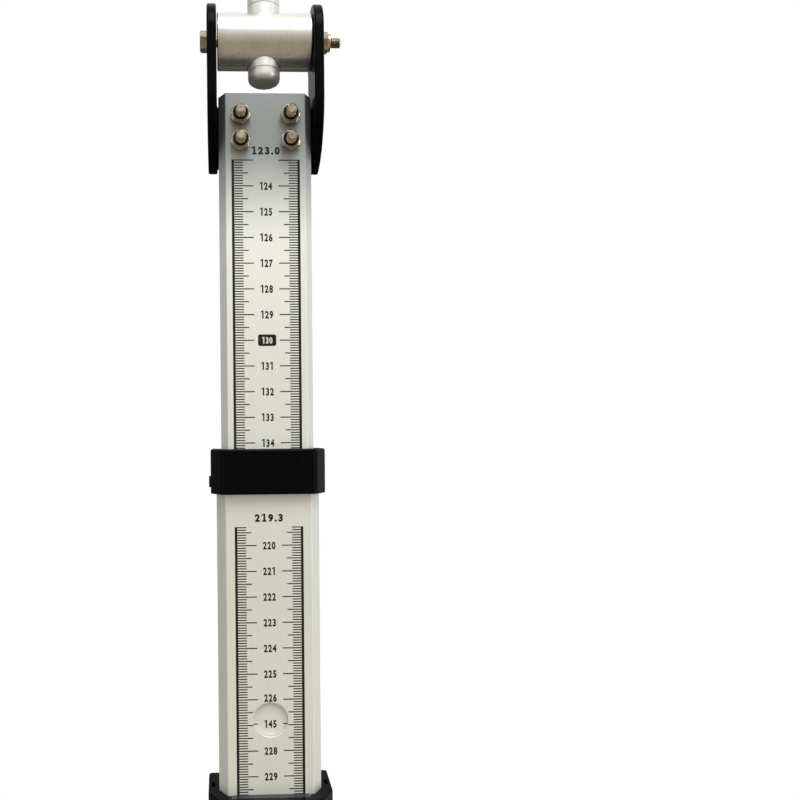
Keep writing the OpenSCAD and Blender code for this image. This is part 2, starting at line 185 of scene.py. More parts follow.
@dataclass(frozen=True)
class Finish:
    """A surface finish: one shader with a procedural grain on the object's own coordinates.

    Colour goes between dark and light, and roughness by its spread to either side, as a fine
    grain and a slow cloud go. The grain also stands up by its depth. Where a dull and shade band
    is given, the colour is darkened from its first height to its second, with an edge that
    drifts: on the top section this is painted shade under the head, and on the rod a slightly
    darker lower end. The slot names the finish that pieces of this finish go under, where the
    finish has another name; nothing in this script reads it.
    """

    name: str
    light: Colour
    dark: Colour
    metallic: float
    roughness: float
    spread: float = 0.06
    grain: Grain = Grain.MOULDED
    grain_size: float = 0.6 * MM
    depth: float = 0.02 * MM
    cloud_size: float = 30 * MM
    specular: float = 0.5
    film: tuple[float, float] = (0.0, 0.0)
    film_colour: Colour = (1.0, 1.0, 1.0)
    film_drift: float = 0.0
    slot: str = ""

    def material(self) -> bpy.types.Material:
        """Builds the material, or gives the one that is there.

        Returns:
            The material.
        """
        if self.name not in MATERIALS:
            made = bpy.data.materials.new(self.name + "_finish")
            made.use_nodes = True
            self._shade(NodeBench(made.node_tree))
            MATERIALS[self.name] = made
        return MATERIALS[self.name]

    def _shade(self, bench: NodeBench) -> None:
        """Feeds the shader from the grain and the cloud.

        Args:
            bench: the material's nodes.
        """
        place = bench.add("TexCoord").outputs["Object"]
        fine = tuple(share / self.grain_size for share in self.grain.value)
        grain = self._noise(bench, place, fine, GRAIN_DETAIL)
        cloud = self._noise(bench, place, (1 / self.cloud_size,) * 3, CLOUD_DETAIL)
        soft = bench.add("Math", {0: cloud, 1: 1 - GRAIN_SHARE}, operation="MULTIPLY").outputs[0]
        blend = bench.add(
            "Math", {0: grain, 1: GRAIN_SHARE, 2: soft}, operation="MULTIPLY_ADD"
        ).outputs[0]
        colour = bench.ramp(blend, tuple(zip(COLOUR_ENDS, (self.dark, self.light))))
        # Painted shade on the top section under the head; a slightly darker lower end on the rod.
        if self.film[1] != self.film[0]:
            colour = self._filmed(bench, place, cloud, colour)
        polish = bench.add("MapRange", {
            "Value": blend,
            "To Min": max(self.roughness - self.spread, LEAST_ROUGHNESS),
            "To Max": self.roughness + self.spread,
        })
        bump = bench.add("Bump", {
            "Strength": BUMP_STRENGTH, "Distance": self.depth, "Height": grain,
        })
        bench.feed(bench.tree.nodes["Principled BSDF"], {
            "Metallic": self.metallic,
            "Specular IOR Level": self.specular,
            "Base Color": colour,
            "Roughness": polish.outputs["Result"],
            "Normal": bump.outputs["Normal"],
        })

    def _filmed(self, bench: NodeBench, place: Socket, cloud: Socket, colour: Socket) -> Socket:
        """Darkens the colour between two heights, with a cloudy edge: painted shade under the head on
        the top section, and a slightly darker lower end on the rod.

        Args:
            bench: the material's nodes.
            place: the object's coordinates.
            cloud: the slow noise that moves the edge.
            colour: the clean colour.

        Returns:
            The darkened colour.
        """
        height = bench.add("SeparateXYZ", {0: place}).outputs["Z"]
        uneven = bench.add(
            "Math", {0: cloud, 1: self.film_drift, 2: height}, operation="MULTIPLY_ADD"
        )
        rise = bench.add("MapRange", {
            "Value": uneven.outputs[0],
            "From Min": self.film[0] + self.film_drift / 2,
            "From Max": self.film[1] + self.film_drift / 2,
        }, interpolation_type="SMOOTHSTEP")
        return bench.mix("MULTIPLY", rise.outputs["Result"], colour, (*self.film_colour, 1.0))

    @staticmethod
    def _noise(bench: NodeBench, place: Socket, scale: tuple, detail: float) -> Socket:
        """Adds a noise whose cells are as long along each axis as the scale says.

        Args:
            bench: the material's nodes.
            place: the object's coordinates.
            scale: cells in a metre along X, Y and Z.
            detail: octaves of the noise.

        Returns:
            The noise's value.
        """
        mapping = bench.add("Mapping", {"Vector": place, "Scale": scale})
        noise = bench.add(
            "TexNoise", {"Vector": mapping.outputs["Vector"], "Scale": 1.0, "Detail": detail}
        )
        return noise.outputs["Fac"]


ANODISED = Finish(
    "section_aluminium", (0.83, 0.835, 0.765), (0.78, 0.785, 0.715), 0.5, 0.42,
    grain=Grain.DRAWN, grain_size=0.35 * MM, depth=0.004 * MM, cloud_size=60 * MM,
)
# Painted shade: the top section's face darkens to blue grey from 1.595 m to 1.640 m, where the head
# shades it; otherwise it is nearly the same aluminium as the other sections.
SHADED = Finish(
    "top_section_aluminium_painted_shade", (0.83, 0.84, 0.775), (0.78, 0.79, 0.72), 0.5, 0.42,
    grain=Grain.DRAWN, grain_size=0.35 * MM, depth=0.004 * MM, cloud_size=60 * MM,
    film=(1.595, 1.640), film_drift=5 * MM, film_colour=(0.31, 0.335, 0.36),
    slot="section_aluminium",
)
TURNED = Finish(
    "turned_aluminium", (0.80, 0.77, 0.72), (0.68, 0.65, 0.60), 0.95, 0.27, 0.02,
    grain=Grain.TURNED_ACROSS, grain_size=0.25 * MM, depth=0.0015 * MM, cloud_size=8 * MM,
)
# The band makes the rod's lower end, below 1.6656 m, slightly darker.
ROD_STEEL = Finish(
    "rod_steel", (0.80, 0.80, 0.77), (0.72, 0.72, 0.69), 0.55, 0.38, 0.03,
    grain=Grain.TURNED_UP, grain_size=0.3 * MM, depth=0.002 * MM, cloud_size=6 * MM,
    film=(1.6662, 1.6656), film_colour=(0.90, 0.90, 0.87),
)
ZINC = Finish(
    "zinc_steel", (0.64, 0.56, 0.43), (0.26, 0.22, 0.16), 1.0, 0.14, 0.04,
    grain_size=0.5 * MM, depth=0.002 * MM, cloud_size=2.5 * MM,
)
SPRING = Finish(
    "spring_steel", (0.55, 0.55, 0.56), (0.40, 0.40, 0.41), 1.0, 0.3,
    grain_size=0.3 * MM, depth=0.004 * MM, cloud_size=2 * MM,
)
FOOT_STEEL = Finish(
    "foot_steel", (0.60, 0.60, 0.59), (0.46, 0.46, 0.46), 1.0, 0.38,
    grain_size=0.4 * MM, depth=0.01 * MM, cloud_size=9 * MM,
)
MOULDED_BLACK = Finish(
    "black_plastic", (0.0022, 0.0024, 0.0026), (0.0010, 0.0011, 0.0012), 0.0, 0.22,
    grain_size=0.25 * MM, depth=0.006 * MM, cloud_size=6 * MM, specular=0.045,
)
PAINTED_BLACK = Finish(
    "black_paint", (0.0022, 0.0022, 0.0025), (0.0010, 0.0010, 0.0011), 0.0, 0.26,
    grain_size=0.9 * MM, depth=0.015 * MM, cloud_size=7 * MM, specular=0.035,
)
PAD = Finish(
    "pad_plastic", (0.022, 0.022, 0.024), (0.014, 0.014, 0.015), 0.0, 0.42,
    grain_size=0.2 * MM, depth=0.01 * MM, cloud_size=5 * MM, specular=0.35,
)
GUIDE = Finish(
    "guide_plastic", (0.07, 0.07, 0.075), (0.05, 0.05, 0.055), 0.0, 0.5,
    grain_size=0.3 * MM, depth=0.015 * MM, cloud_size=8 * MM,
)
BUTTON = Finish(
    "button_plastic", (0.045, 0.045, 0.048), (0.03, 0.03, 0.033), 0.0, 0.35,
    grain_size=0.25 * MM, depth=0.01 * MM, cloud_size=4 * MM,
)
INK = Finish(
    "print_ink", (0.016, 0.015, 0.014), (0.006, 0.006, 0.006), 0.0, 0.45,
    grain_size=0.12 * MM, depth=0.004 * MM, cloud_size=1.5 * MM, specular=0.2, slot="black_paint",
)
BARE = Finish(
    "print_ground", (0.72, 0.71, 0.66), (0.62, 0.61, 0.56), 0.3, 0.45,
    grain_size=0.12 * MM, depth=0.004 * MM, cloud_size=1.5 * MM, slot="section_aluminium",
)
NYLON = Finish(
    "nut_insert", (0.006, 0.006, 0.006), (0.003, 0.003, 0.003), 0.0, 0.5,
    grain_size=0.2 * MM, depth=0.01 * MM, cloud_size=2 * MM, specular=0.15, slot="black_plastic",
)
FLOOR = Finish(
    "studio_floor", (0.80, 0.80, 0.80), (0.78, 0.78, 0.78), 0.0, 0.9,
    grain_size=8 * MM, depth=0.05 * MM, cloud_size=500 * MM, specular=0.2,
)


@dataclass
class Surface:
    """Points with their faces, before they become a mesh."""

    points: np.ndarray
    faces: np.ndarray

    @staticmethod
    def joined(parts: list["Surface"]) -> "Surface":
        """Puts several surfaces with faces of one kind into one.

        Args:
            parts: the surfaces.

        Returns:
            One surface, whose face numbers follow the points' new order.
        """
        starts = np.cumsum([0] + [len(p.points) for p in parts[:-1]])
        return Surface(
            np.concatenate([p.points for p in parts]),
            np.concatenate([p.faces + s for p, s in zip(parts, starts)]),
        )

    @staticmethod
    def of_rings(rings: np.ndarray, closed: bool) -> "Surface":
        """Joins rings of points with quads, each ring closed on itself.

        Args:
            rings: an array of rings, points in a ring, and 3 coordinates.
            closed: whether the last ring joins the first.

        Returns:
            The surface. Rings shrunk to a point become poles when doubles are merged.
        """
        count, around, _ = rings.shape
        low = np.arange(count if closed else count - 1)
        here = np.arange(around)
        a = low[:, None] * around + here
        b = low[:, None] * around + (here + 1) % around
        up = ((low + 1) % count)[:, None] * around
        c = up + (here + 1) % around
        d = up + here
        return Surface(rings.reshape(-1, 3), np.stack([a, b, c, d], -1).reshape(-1, 4))

    def mesh(self, name: str) -> bpy.types.Mesh:
        """Makes the mesh, with doubles merged and its faces turned outwards.

        Args:
            name: the mesh's name.

        Returns:
            The mesh.
        """
        made = bpy.data.meshes.new(name)
        made.from_pydata(self.points.tolist(), [], self.faces.tolist())
        work = bmesh.new()
        work.from_mesh(made)
        bmesh.ops.remove_doubles(work, verts=work.verts, dist=MERGE)
        bmesh.ops.dissolve_degenerate(work, edges=work.edges, dist=MERGE / 10)
        bmesh.ops.recalc_face_normals(work, faces=work.faces)
        work.to_mesh(made)
        work.free()
        return made

    def piece(
        self, name: str, finish: Finish, body: str, crease: float = 35.0
    ) -> bpy.types.Object:
        """Makes the object, with soft edges where it is round.

        Args:
            name: the piece's name.
            finish: its finish.
            body: the part's body that it rides on.
            crease: degrees between two faces from which their edge is sharp.

        Returns:
            The object, riding on its body.
        """
        return dress(added(name, self.mesh(name)), finish, body, crease)


def added(name: str, data: bpy.types.ID | None) -> bpy.types.Object:
    """Adds an object to the scene.

    Args:
        name: its name.
        data: its mesh, curve, camera or lamp.

    Returns:
        The object.
    """
    made = bpy.data.objects.new(name, data)
    bpy.context.scene.collection.objects.link(made)
    return made


def dress(made: bpy.types.Object, finish: Finish, body: str, crease: float) -> bpy.types.Object:
    """Gives a new piece its finish, its smooth shading and its body.

    Args:
        made: the piece.
        finish: its finish.
        body: the part's body that it rides on.
        crease: degrees from which an edge is sharp.

    Returns:
        The piece.
    """
    mesh = made.data
    mesh.materials.clear()
    mesh.materials.append(finish.material())
    mesh.polygons.foreach_set("use_smooth", np.ones(len(mesh.polygons), bool))
    mesh.set_sharp_from_angle(angle=math.radians(crease))
    even = made.modifiers.new("even_normals", "WEIGHTED_NORMAL")
    even.keep_sharp = True
    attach(made, body)
    log.info("%s rides on %s, %d faces", made.name, body, len(mesh.polygons))
    return made


def carved(made: bpy.types.Object, cutters: list[Surface]) -> bpy.types.Object:
    """Cuts closed surfaces out of a piece and keeps the result as its mesh.

    Args:
        made: the piece.
        cutters: what is taken away.

    Returns:
        The piece.
    """
    even = made.modifiers["even_normals"]
    for cutter in cutters:
        tool = added("cutter", cutter.mesh("cutter"))
        step = made.modifiers.new("cut", "BOOLEAN")
        step.operation = "DIFFERENCE"
        step.solver = "EXACT"
        step.object = tool
        while made.modifiers[0] != step:
            made.modifiers.move(len(made.modifiers) - 1, 0)
        even.show_viewport = False
        graph = bpy.context.evaluated_depsgraph_get()
        result = bpy.data.meshes.new_from_object(made.evaluated_get(graph))
        made.modifiers.remove(step)
        even.show_viewport = True
        made.data = result
        bpy.data.objects.remove(tool)
    return made


def slab(low: tuple[float, float, float], high: tuple[float, float, float]) -> Surface:
    """A box between two corners, as one closed surface.

    Args:
        low: the lowest corner.
        high: the highest corner.

    Returns:
        The box.
    """
    return slabs(np.array([low]), np.array([high]))


def slabs(low: np.ndarray, high: np.ndarray) -> Surface:
    """Boxes between pairs of corners: each corner takes its low or high value in turn.

    Args:
        low: the lowest corners, one row each.
        high: the highest corners.

    Returns:
        All the boxes in one surface.
    """
    pick = np.array([
        [0, 0, 0], [1, 0, 0], [1, 1, 0], [0, 1, 0], [0, 0, 1], [1, 0, 1], [1, 1, 1], [0, 1, 1],
    ])
    points = low[:, None, :] * (1 - pick) + high[:, None, :] * pick
    quads = np.array(
        [[0, 3, 2, 1], [4, 5, 6, 7], [0, 1, 5, 4], [1, 2, 6, 5], [2, 3, 7, 6], [3, 0, 4, 7]]
    )
    faces = quads[None] + 8 * np.arange(len(low))[:, None, None]
    return Surface(points.reshape(-1, 3), faces.reshape(-1, 4))


@dataclass(frozen=True)
class Axis:
    """A straight axis: where it starts, the way it runs, and the way that angle 0 points."""

    start: Vector
    ahead: Vector
    side: Vector

    def rings(self, radius: np.ndarray, along: np.ndarray, angle: np.ndarray) -> np.ndarray:
        """Points round the axis: start + along * ahead + radius * side turned by the angle.

        Args:
            radius: radii, one row a ring and one column an angle.
            along: how far along the axis, of the same shape.
            angle: the angles, in radians.

        Returns:
            An array of rings, points and 3 coordinates.
        """
        ahead, side = np.array(self.ahead), np.array(self.side)
        other = np.cross(ahead, side)
        turn = np.cos(angle)[:, None] * side + np.sin(angle)[:, None] * other
        return np.array(self.start) + along[..., None] * ahead + radius[..., None] * turn


def angles(sides: int) -> np.ndarray:
    """Evenly spaced angles of a full turn, in radians."""
    return np.linspace(0, 2 * math.pi, sides, endpoint=False)


def stacked(axis: Axis, rows: list[tuple], sides: int, closed: bool) -> Surface:
    """Rings round an axis, joined in their order.

    Args:
        axis: the axis.
        rows: pairs of a radius, or of one radius an angle, and the ring's place along the axis.
        sides: points in a ring.
        closed: whether the last ring joins the first.

    Returns:
        The surface.
    """
    plain = np.ones(sides)
    radius = np.array([radius * plain for radius, _ in rows])
    along = np.array([place * plain for _, place in rows])
    return Surface.of_rings(axis.rings(radius, along, angles(sides)), closed)


def turned(axis: Axis, profile: list[tuple[float, float]], sides: int = 96) -> Surface:
    """A surface of revolution: each profile point is a radius and a place along the axis.

    Args:
        axis: the axis of revolution.
        profile: pairs of radius and place, from one end on the axis to the other.
        sides: points round the axis.

    Returns:
        The closed surface.
    """
    return stacked(axis, profile, sides, closed=False)


def rounded_edge(
    radius: float, place: float, size: float, out: int, up: int
) -> list[tuple[float, float]]:
    """A quarter-round edge of a turned profile, from its face to its side or back.

    Args:
        radius: the side's radius.
        place: the face's place along the axis.
        size: the edge's own radius.
        out: 1 if the profile runs from the face out to the side, and -1 if it runs back in.
        up: 1 if the face looks along the axis, and -1 if it looks back.

    Returns:
        Five points of the quarter circle.
    """
    steps = np.linspace(0, math.pi / 2, 5)[::out]
    return [
        (radius - size + size * math.sin(s), place - up * size + up * size * math.cos(s))
        for s in steps
    ]


def drill(axis: Axis, radius: float, depth: float, sides: int) -> Surface:
    """A drill: a closed cylinder from the axis's start to a depth along it.

    Args:
        axis: the drill's axis.
        radius: its radius.
        depth: how deep it goes.
        sides: points round it.

    Returns:
        The cylinder.
    """
    return turned(axis, [(0, 0), (radius, 0), (radius, depth), (0, depth)], sides)


@dataclass(frozen=True)
class Hexagon:
    """Flats of a nut or bolt head with turned corners."""

    flats: float

    def radius(self, angle: np.ndarray, cap: float) -> np.ndarray:
        """The lesser of the hexagon's own radius at an angle and a turned cap's radius.

        Args:
            angle: the angles.
            cap: the radius to which the corners are turned there.

        Returns:
            One radius an angle.
        """
        sector = math.pi / 3
        across = (angle + sector / 2) % sector - sector / 2
        return np.minimum(self.flats / 2 / np.cos(across), cap)


@dataclass(frozen=True)
class BoltShape:
    """A hexagon bolt: a head with turned corners, a plain shank and a thread at its end."""

    size: float
    flats: float
    head: float
    reach: float
    threaded: float = 9 * MM
    pitch: float = 0.7 * MM
    chamfer: float = 0.45 * MM
    crown_share: float = 0.55
    turned_share: float = 0.97
    crown_edge: float = 0.1 * MM
    thread_share: float = 0.6
    steps_a_turn: int = 8
    sides: int = 60

    def surface(self, axis: Axis) -> Surface:
        """Rings from the head's top to the bolt's end.

        The head's radius is the hexagon's, cut by a cone at its top. The thread's radius falls
        by a triangle wave that advances one pitch a turn, and the end is cut by a cone.

        Args:
            axis: the bolt's axis, which starts under the head and runs to the bolt's end.

        Returns:
            The closed surface.
        """
        angle = angles(self.sides)
        hexagon = Hexagon(self.flats)
        face = self.flats / 2
        corner = face / math.cos(math.pi / 6)
        rise = (corner - face) * math.tan(math.pi / 6) + self.crown_edge
        rows = [(0.0, -self.head), (face * self.crown_share, -self.head)]
        for share in np.linspace(0, 1, 5):
            least = face * self.turned_share
            cap = least + (corner - least) * share
            rows.append((hexagon.radius(angle, cap), -self.head + rise * share))
        rows.append((hexagon.radius(angle, corner), 0.0))
        plain = self.reach - self.threaded
        rows += [(self.size / 2, 0.0), (self.size / 2, plain)]
        depth = self.thread_share * self.pitch / 2 * math.sqrt(3)
        count = int(self.steps_a_turn * self.threaded / self.pitch)
        for along in np.linspace(plain + self.pitch / 2, self.reach, count):
            wave = np.abs(((along / self.pitch - angle / (2 * math.pi)) % 1) * 2 - 1)
            grow = min((along - plain) / self.pitch, 1)
            end = self.size / 2 - max(self.chamfer - (self.reach - along), 0)
            rows.append((np.minimum(self.size / 2 - depth * wave * grow, end), along))
        rows.append((0.0, self.reach))
        return stacked(axis, rows, self.sides, closed=False)


@dataclass(frozen=True)
class LockNut:
    """A hexagon nut with a turned collar round a dark insert at its outer end.

    Each share of the bore gives the radius of a ring as a share of the bore's diameter.
    """

    flats: float
    height: float
    bore: float
    seat_share: float = 0.56
    seat_depth: float = 0.3 * MM
    seat_rise: float = 0.35 * MM
    seat_corner: float = 0.98
    collar_share: float = 0.93
    waist_share: float = 0.72
    waist_rise: float = 0.4 * MM
    shoulder: float = 0.22 * MM
    lip_share: float = 0.74
    lip_drop: float = 0.03 * MM
    recess_share: float = 0.73
    recess_depth: float = 0.75 * MM
    recess_floor: float = 0.8 * MM
    insert_share: float = 0.735
    insert_bore: float = 0.49
    insert_soft: float = 0.53
    insert_drop: float = 0.4 * MM
    insert_height: float = 0.35 * MM
    insert_edge: float = 0.1 * MM
    sides: int = 72

    def surface(self, axis: Axis) -> Surface:
        """The steel body: rings up the outside and down the bore, joined end to end.

        Args:
            axis: the nut's axis, which starts at its seat and runs outwards.

        Returns:
            The closed surface.
        """
        angle = angles(self.sides)
        hexagon = Hexagon(self.flats)
        face = self.flats / 2
        corner = face / math.cos(math.pi / 6)
        collar = face * self.collar_share
        waist = self.height * self.waist_share
        seat = face * self.seat_corner
        rows = [(self.bore / 2, self.seat_depth), (self.bore * self.seat_share, 0.0)]
        for share in np.linspace(0, 1, 4):
            wide = seat + (corner - seat) * share
            rows.append((hexagon.radius(angle, wide), self.seat_rise * share))
        for share in np.linspace(1, 0, 5):
            cap = collar + (corner - collar) * share
            rows.append((hexagon.radius(angle, cap), waist - self.waist_rise * share))
        for turn in np.linspace(0, math.pi / 2, 5):
            out = collar - self.shoulder + self.shoulder * math.cos(turn)
            up = self.height - self.shoulder + self.shoulder * math.sin(turn)
            rows.append((out, up))
        rows += [
            (self.bore * self.lip_share, self.height - self.lip_drop),
            (self.bore * self.recess_share, self.height - self.recess_depth),
            (self.bore / 2, self.height - self.recess_floor),
        ]
        return stacked(axis, rows, self.sides, closed=True)

    def insert(self, axis: Axis) -> Surface:
        """The insert: a flat ring with a rounded inner edge, just under the collar's lip.

        Args:
            axis: the nut's axis.

        Returns:
            The closed surface.
        """
        top = self.height - self.insert_drop
        foot = top - self.insert_height
        rows = [
            (self.bore * self.insert_bore, foot), (self.bore * self.insert_share, foot),
            (self.bore * self.insert_share, top), (self.bore * self.insert_soft, top),
            (self.bore * self.insert_bore, top - self.insert_edge),
        ]
        return stacked(axis, rows, self.sides, closed=True)


@dataclass(frozen=True)
class Outline:
    """A section's plan: flat front, two chamfers at 60 degrees, straight sides and a flat back.

    A line is kept for each face, and a growth moves it outwards by its own amount.
    """

    width: float
    depth: float
    reach: float
    slope: float = math.radians(60)

    @staticmethod
    def of(node: str) -> "Outline":
        """The plan of a section's tube, from its box and the base section's front flat.

        Args:
            node: the tube's node.

        Returns:
            The plan.
        """
        low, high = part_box(node)
        base_low, base_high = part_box("base_tube")
        slope = Outline.slope
        depth = base_high.y - base_low.y
        reach = math.sin(slope) * BASE_FLAT / 2 + math.cos(slope) * depth / 2
        return Outline(high.x - low.x, high.y - low.y, reach - (base_high.x - high.x))

    def corners(self, front: float, chamfer: float, side: float, back: float) -> np.ndarray:
        """The six corners, counterclockwise from the front's left end.

        Args:
            front: growth of the front face.
            chamfer: growth of the chamfers.
            side: growth of the sides.
            back: growth of the back.

        Returns:
            Six rows of x and y.
        """
        slope = self.slope
        near, far = -self.depth / 2 - front, self.depth / 2 + back
        half = self.width / 2 + side
        reach = self.reach + chamfer
        end = (reach + math.cos(slope) * near) / math.sin(slope)
        shoulder = (math.sin(slope) * half - reach) / math.cos(slope)
        return np.array([
            [-end, near], [end, near], [half, shoulder],
            [half, far], [-half, far], [-half, shoulder],
        ])

    @staticmethod
    def softened(corners: np.ndarray, radii: np.ndarray, steps: int = 7) -> np.ndarray:
        """Rounds each corner with an arc from one edge's normal to the next one's.

        Args:
            corners: the corners, counterclockwise.
            radii: one radius a corner.
            steps: points in each arc.

        Returns:
            The outline's points, as many for any outline, so that two of them can be joined.
        """
        ahead = np.roll(corners, -1, axis=0) - corners
        ahead /= np.linalg.norm(ahead, axis=1)[:, None]
        out = np.stack([ahead[:, 1], -ahead[:, 0]], 1)
        before = np.roll(out, 1, axis=0)
        middle = before + out
        middle /= (middle * out).sum(1)[:, None]
        centre = corners - middle * radii[:, None]
        start = np.arctan2(before[:, 1], before[:, 0])
        turn = (np.arctan2(out[:, 1], out[:, 0]) - start) % (2 * math.pi)
        angle = start[:, None] + turn[:, None] * np.linspace(0, 1, steps)
        arc = np.stack([np.cos(angle), np.sin(angle)], -1)
        return (centre[:, None, :] + radii[:, None, None] * arc).reshape(-1, 2)


@dataclass
class Collar:
    """A moulded collar: a shell on a section's upper end, with a lip round the next section."""

    node: str
    tube: str
    inner: str
    body: str
    front: float = 4.15 * MM
    chamfer: float = 3.2 * MM
    side: float = 2.25 * MM
    lip: float = 3.0 * MM
    lip_gap: float = 0.3 * MM
    seat: float = 0.02 * MM
    corner: float = 3.0 * MM
    least_corner: float = 0.05 * MM
    edge: float = 0.9 * MM
    lower_edge: float = 0.54 * MM
    lip_edge: float = 0.35 * MM
    lip_corner: float = 0.3 * MM
    seat_corner: float = 0.1 * MM
    lead_in: float = 0.2 * MM
    pad_width: float = 30 * MM
    pad_depth: float = 3.1 * MM
    pad_gap: float = 0.15 * MM
    pad_slit: float = 0.4 * MM
    pad_height: float = 12 * MM
    slot: tuple[float, float, float] = (1.4 * MM, 4.5 * MM, 2.0 * MM)
    screw_head: float = 4.64 * MM
    screw_head_height: float = 1.6 * MM

    def ring(
        self, plan: Outline, growth: tuple, inset: float, radius: float, height: float
    ) -> np.ndarray:
        """One ring of the shell.

        Args:
            plan: the outline it follows.
            growth: growth of the front, chamfers, sides and back.
            inset: how far the whole ring is drawn in.
            radius: radius of the front corners before that.
            height: the ring's height.

        Returns:
            Its points.
        """
        corners = plan.corners(*(g - inset for g in growth))
        small = radius / 3
        radii = np.array([radius, radius, radius, small, small, radius]) - inset
        radii = np.maximum(radii, self.least_corner)
        flat = Outline.softened(corners, radii)
        return np.column_stack([flat, np.full(len(flat), height)])

    def build(self) -> bpy.types.Object:
        """Builds the shell: up the outside, over the lip and down the inside, then cuts its slots.

        Returns:
            The piece, which replaces the node.
        """
        low, high = (v.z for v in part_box(self.node))
        tube, inner = Outline.of(self.tube), Outline.of(self.inner)
        outer = (self.front, self.chamfer, self.side, self.side)
        lip, seat = (self.lip_gap,) * 4, (self.seat,) * 4
        bend = [(math.sin(t), math.cos(t)) for t in np.linspace(0, math.pi / 2, 6)]
        under, soft = self.lower_edge, self.lip_edge
        rings = [
            self.ring(tube, outer, under * (1 - s), self.corner, low + under * (1 - c))
            for s, c in bend
        ]
        rings += [
            self.ring(tube, outer, self.edge * (1 - c), self.corner, high - self.edge * (1 - s))
            for s, c in bend
        ]
        rings += [
            self.ring(inner, lip, -soft * (1 - s), self.lip_corner, high - soft * (1 - c))
            for s, c in bend
        ]
        rings.append(self.ring(inner, lip, 0, self.lip_corner, high - self.lip))
        rings.append(self.ring(tube, seat, 0, self.seat_corner, high - self.lip))
        rings.append(self.ring(tube, seat, 0, self.seat_corner, low + self.lead_in))
        rings.append(self.ring(tube, seat, -self.lead_in, self.lip_corner, low))
        made = Surface.of_rings(np.array(rings), closed=True).piece(
            self.node + "_shell", MOULDED_BLACK, self.body
        )
        made = carved(made, self.cuts(tube, inner, high))
        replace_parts(made, self.node)
        return made

    def cuts(self, tube: Outline, inner: Outline, high: float) -> list[Surface]:
        """What is cut out of the shell: the pad's recess, the two relief slots and the screw seats.

        Args:
            tube: plan of the section that carries the collar.
            inner: plan of the section that slides in it.
            high: the collar's upper end.

        Returns:
            The cutters.
        """
        near = -inner.depth / 2 - self.pad_gap - self.pad_depth - self.pad_slit
        half = self.pad_width / 2 + self.pad_slit
        over = OVER / 2
        top = high + over
        found = [slab(
            (-half, near, high - self.pad_height - self.pad_slit), (half, -inner.depth / 2, top)
        )]
        width, length, depth = self.slot
        for side in (-1, 1):
            middle = side * (tube.width / 2 + width / 4)
            found.append(slab(
                (middle - width / 2, -length / 4, high - depth),
                (middle + width / 2, length * 3 / 4, top),
            ))
        lower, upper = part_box("collar_screws_" + self.node[-1])
        level = (lower.z + upper.z) / 2
        side_face, back_face = -tube.width / 2 - self.side, tube.depth / 2 + self.side
        sink = self.screw_head_height - max(side_face - lower.x, 0)
        radius = self.screw_head / 2
        round_cut = [(0, -over), (radius, -over), (radius, sink), (0, sink)]
        seats = (
            (Vector((side_face, tube.depth / 4, level)), X), (Vector((0, back_face, level)), -Y),
        )
        for start, ahead in seats:
            found.append(turned(Axis(start, ahead, Z), round_cut, 40))
        return found


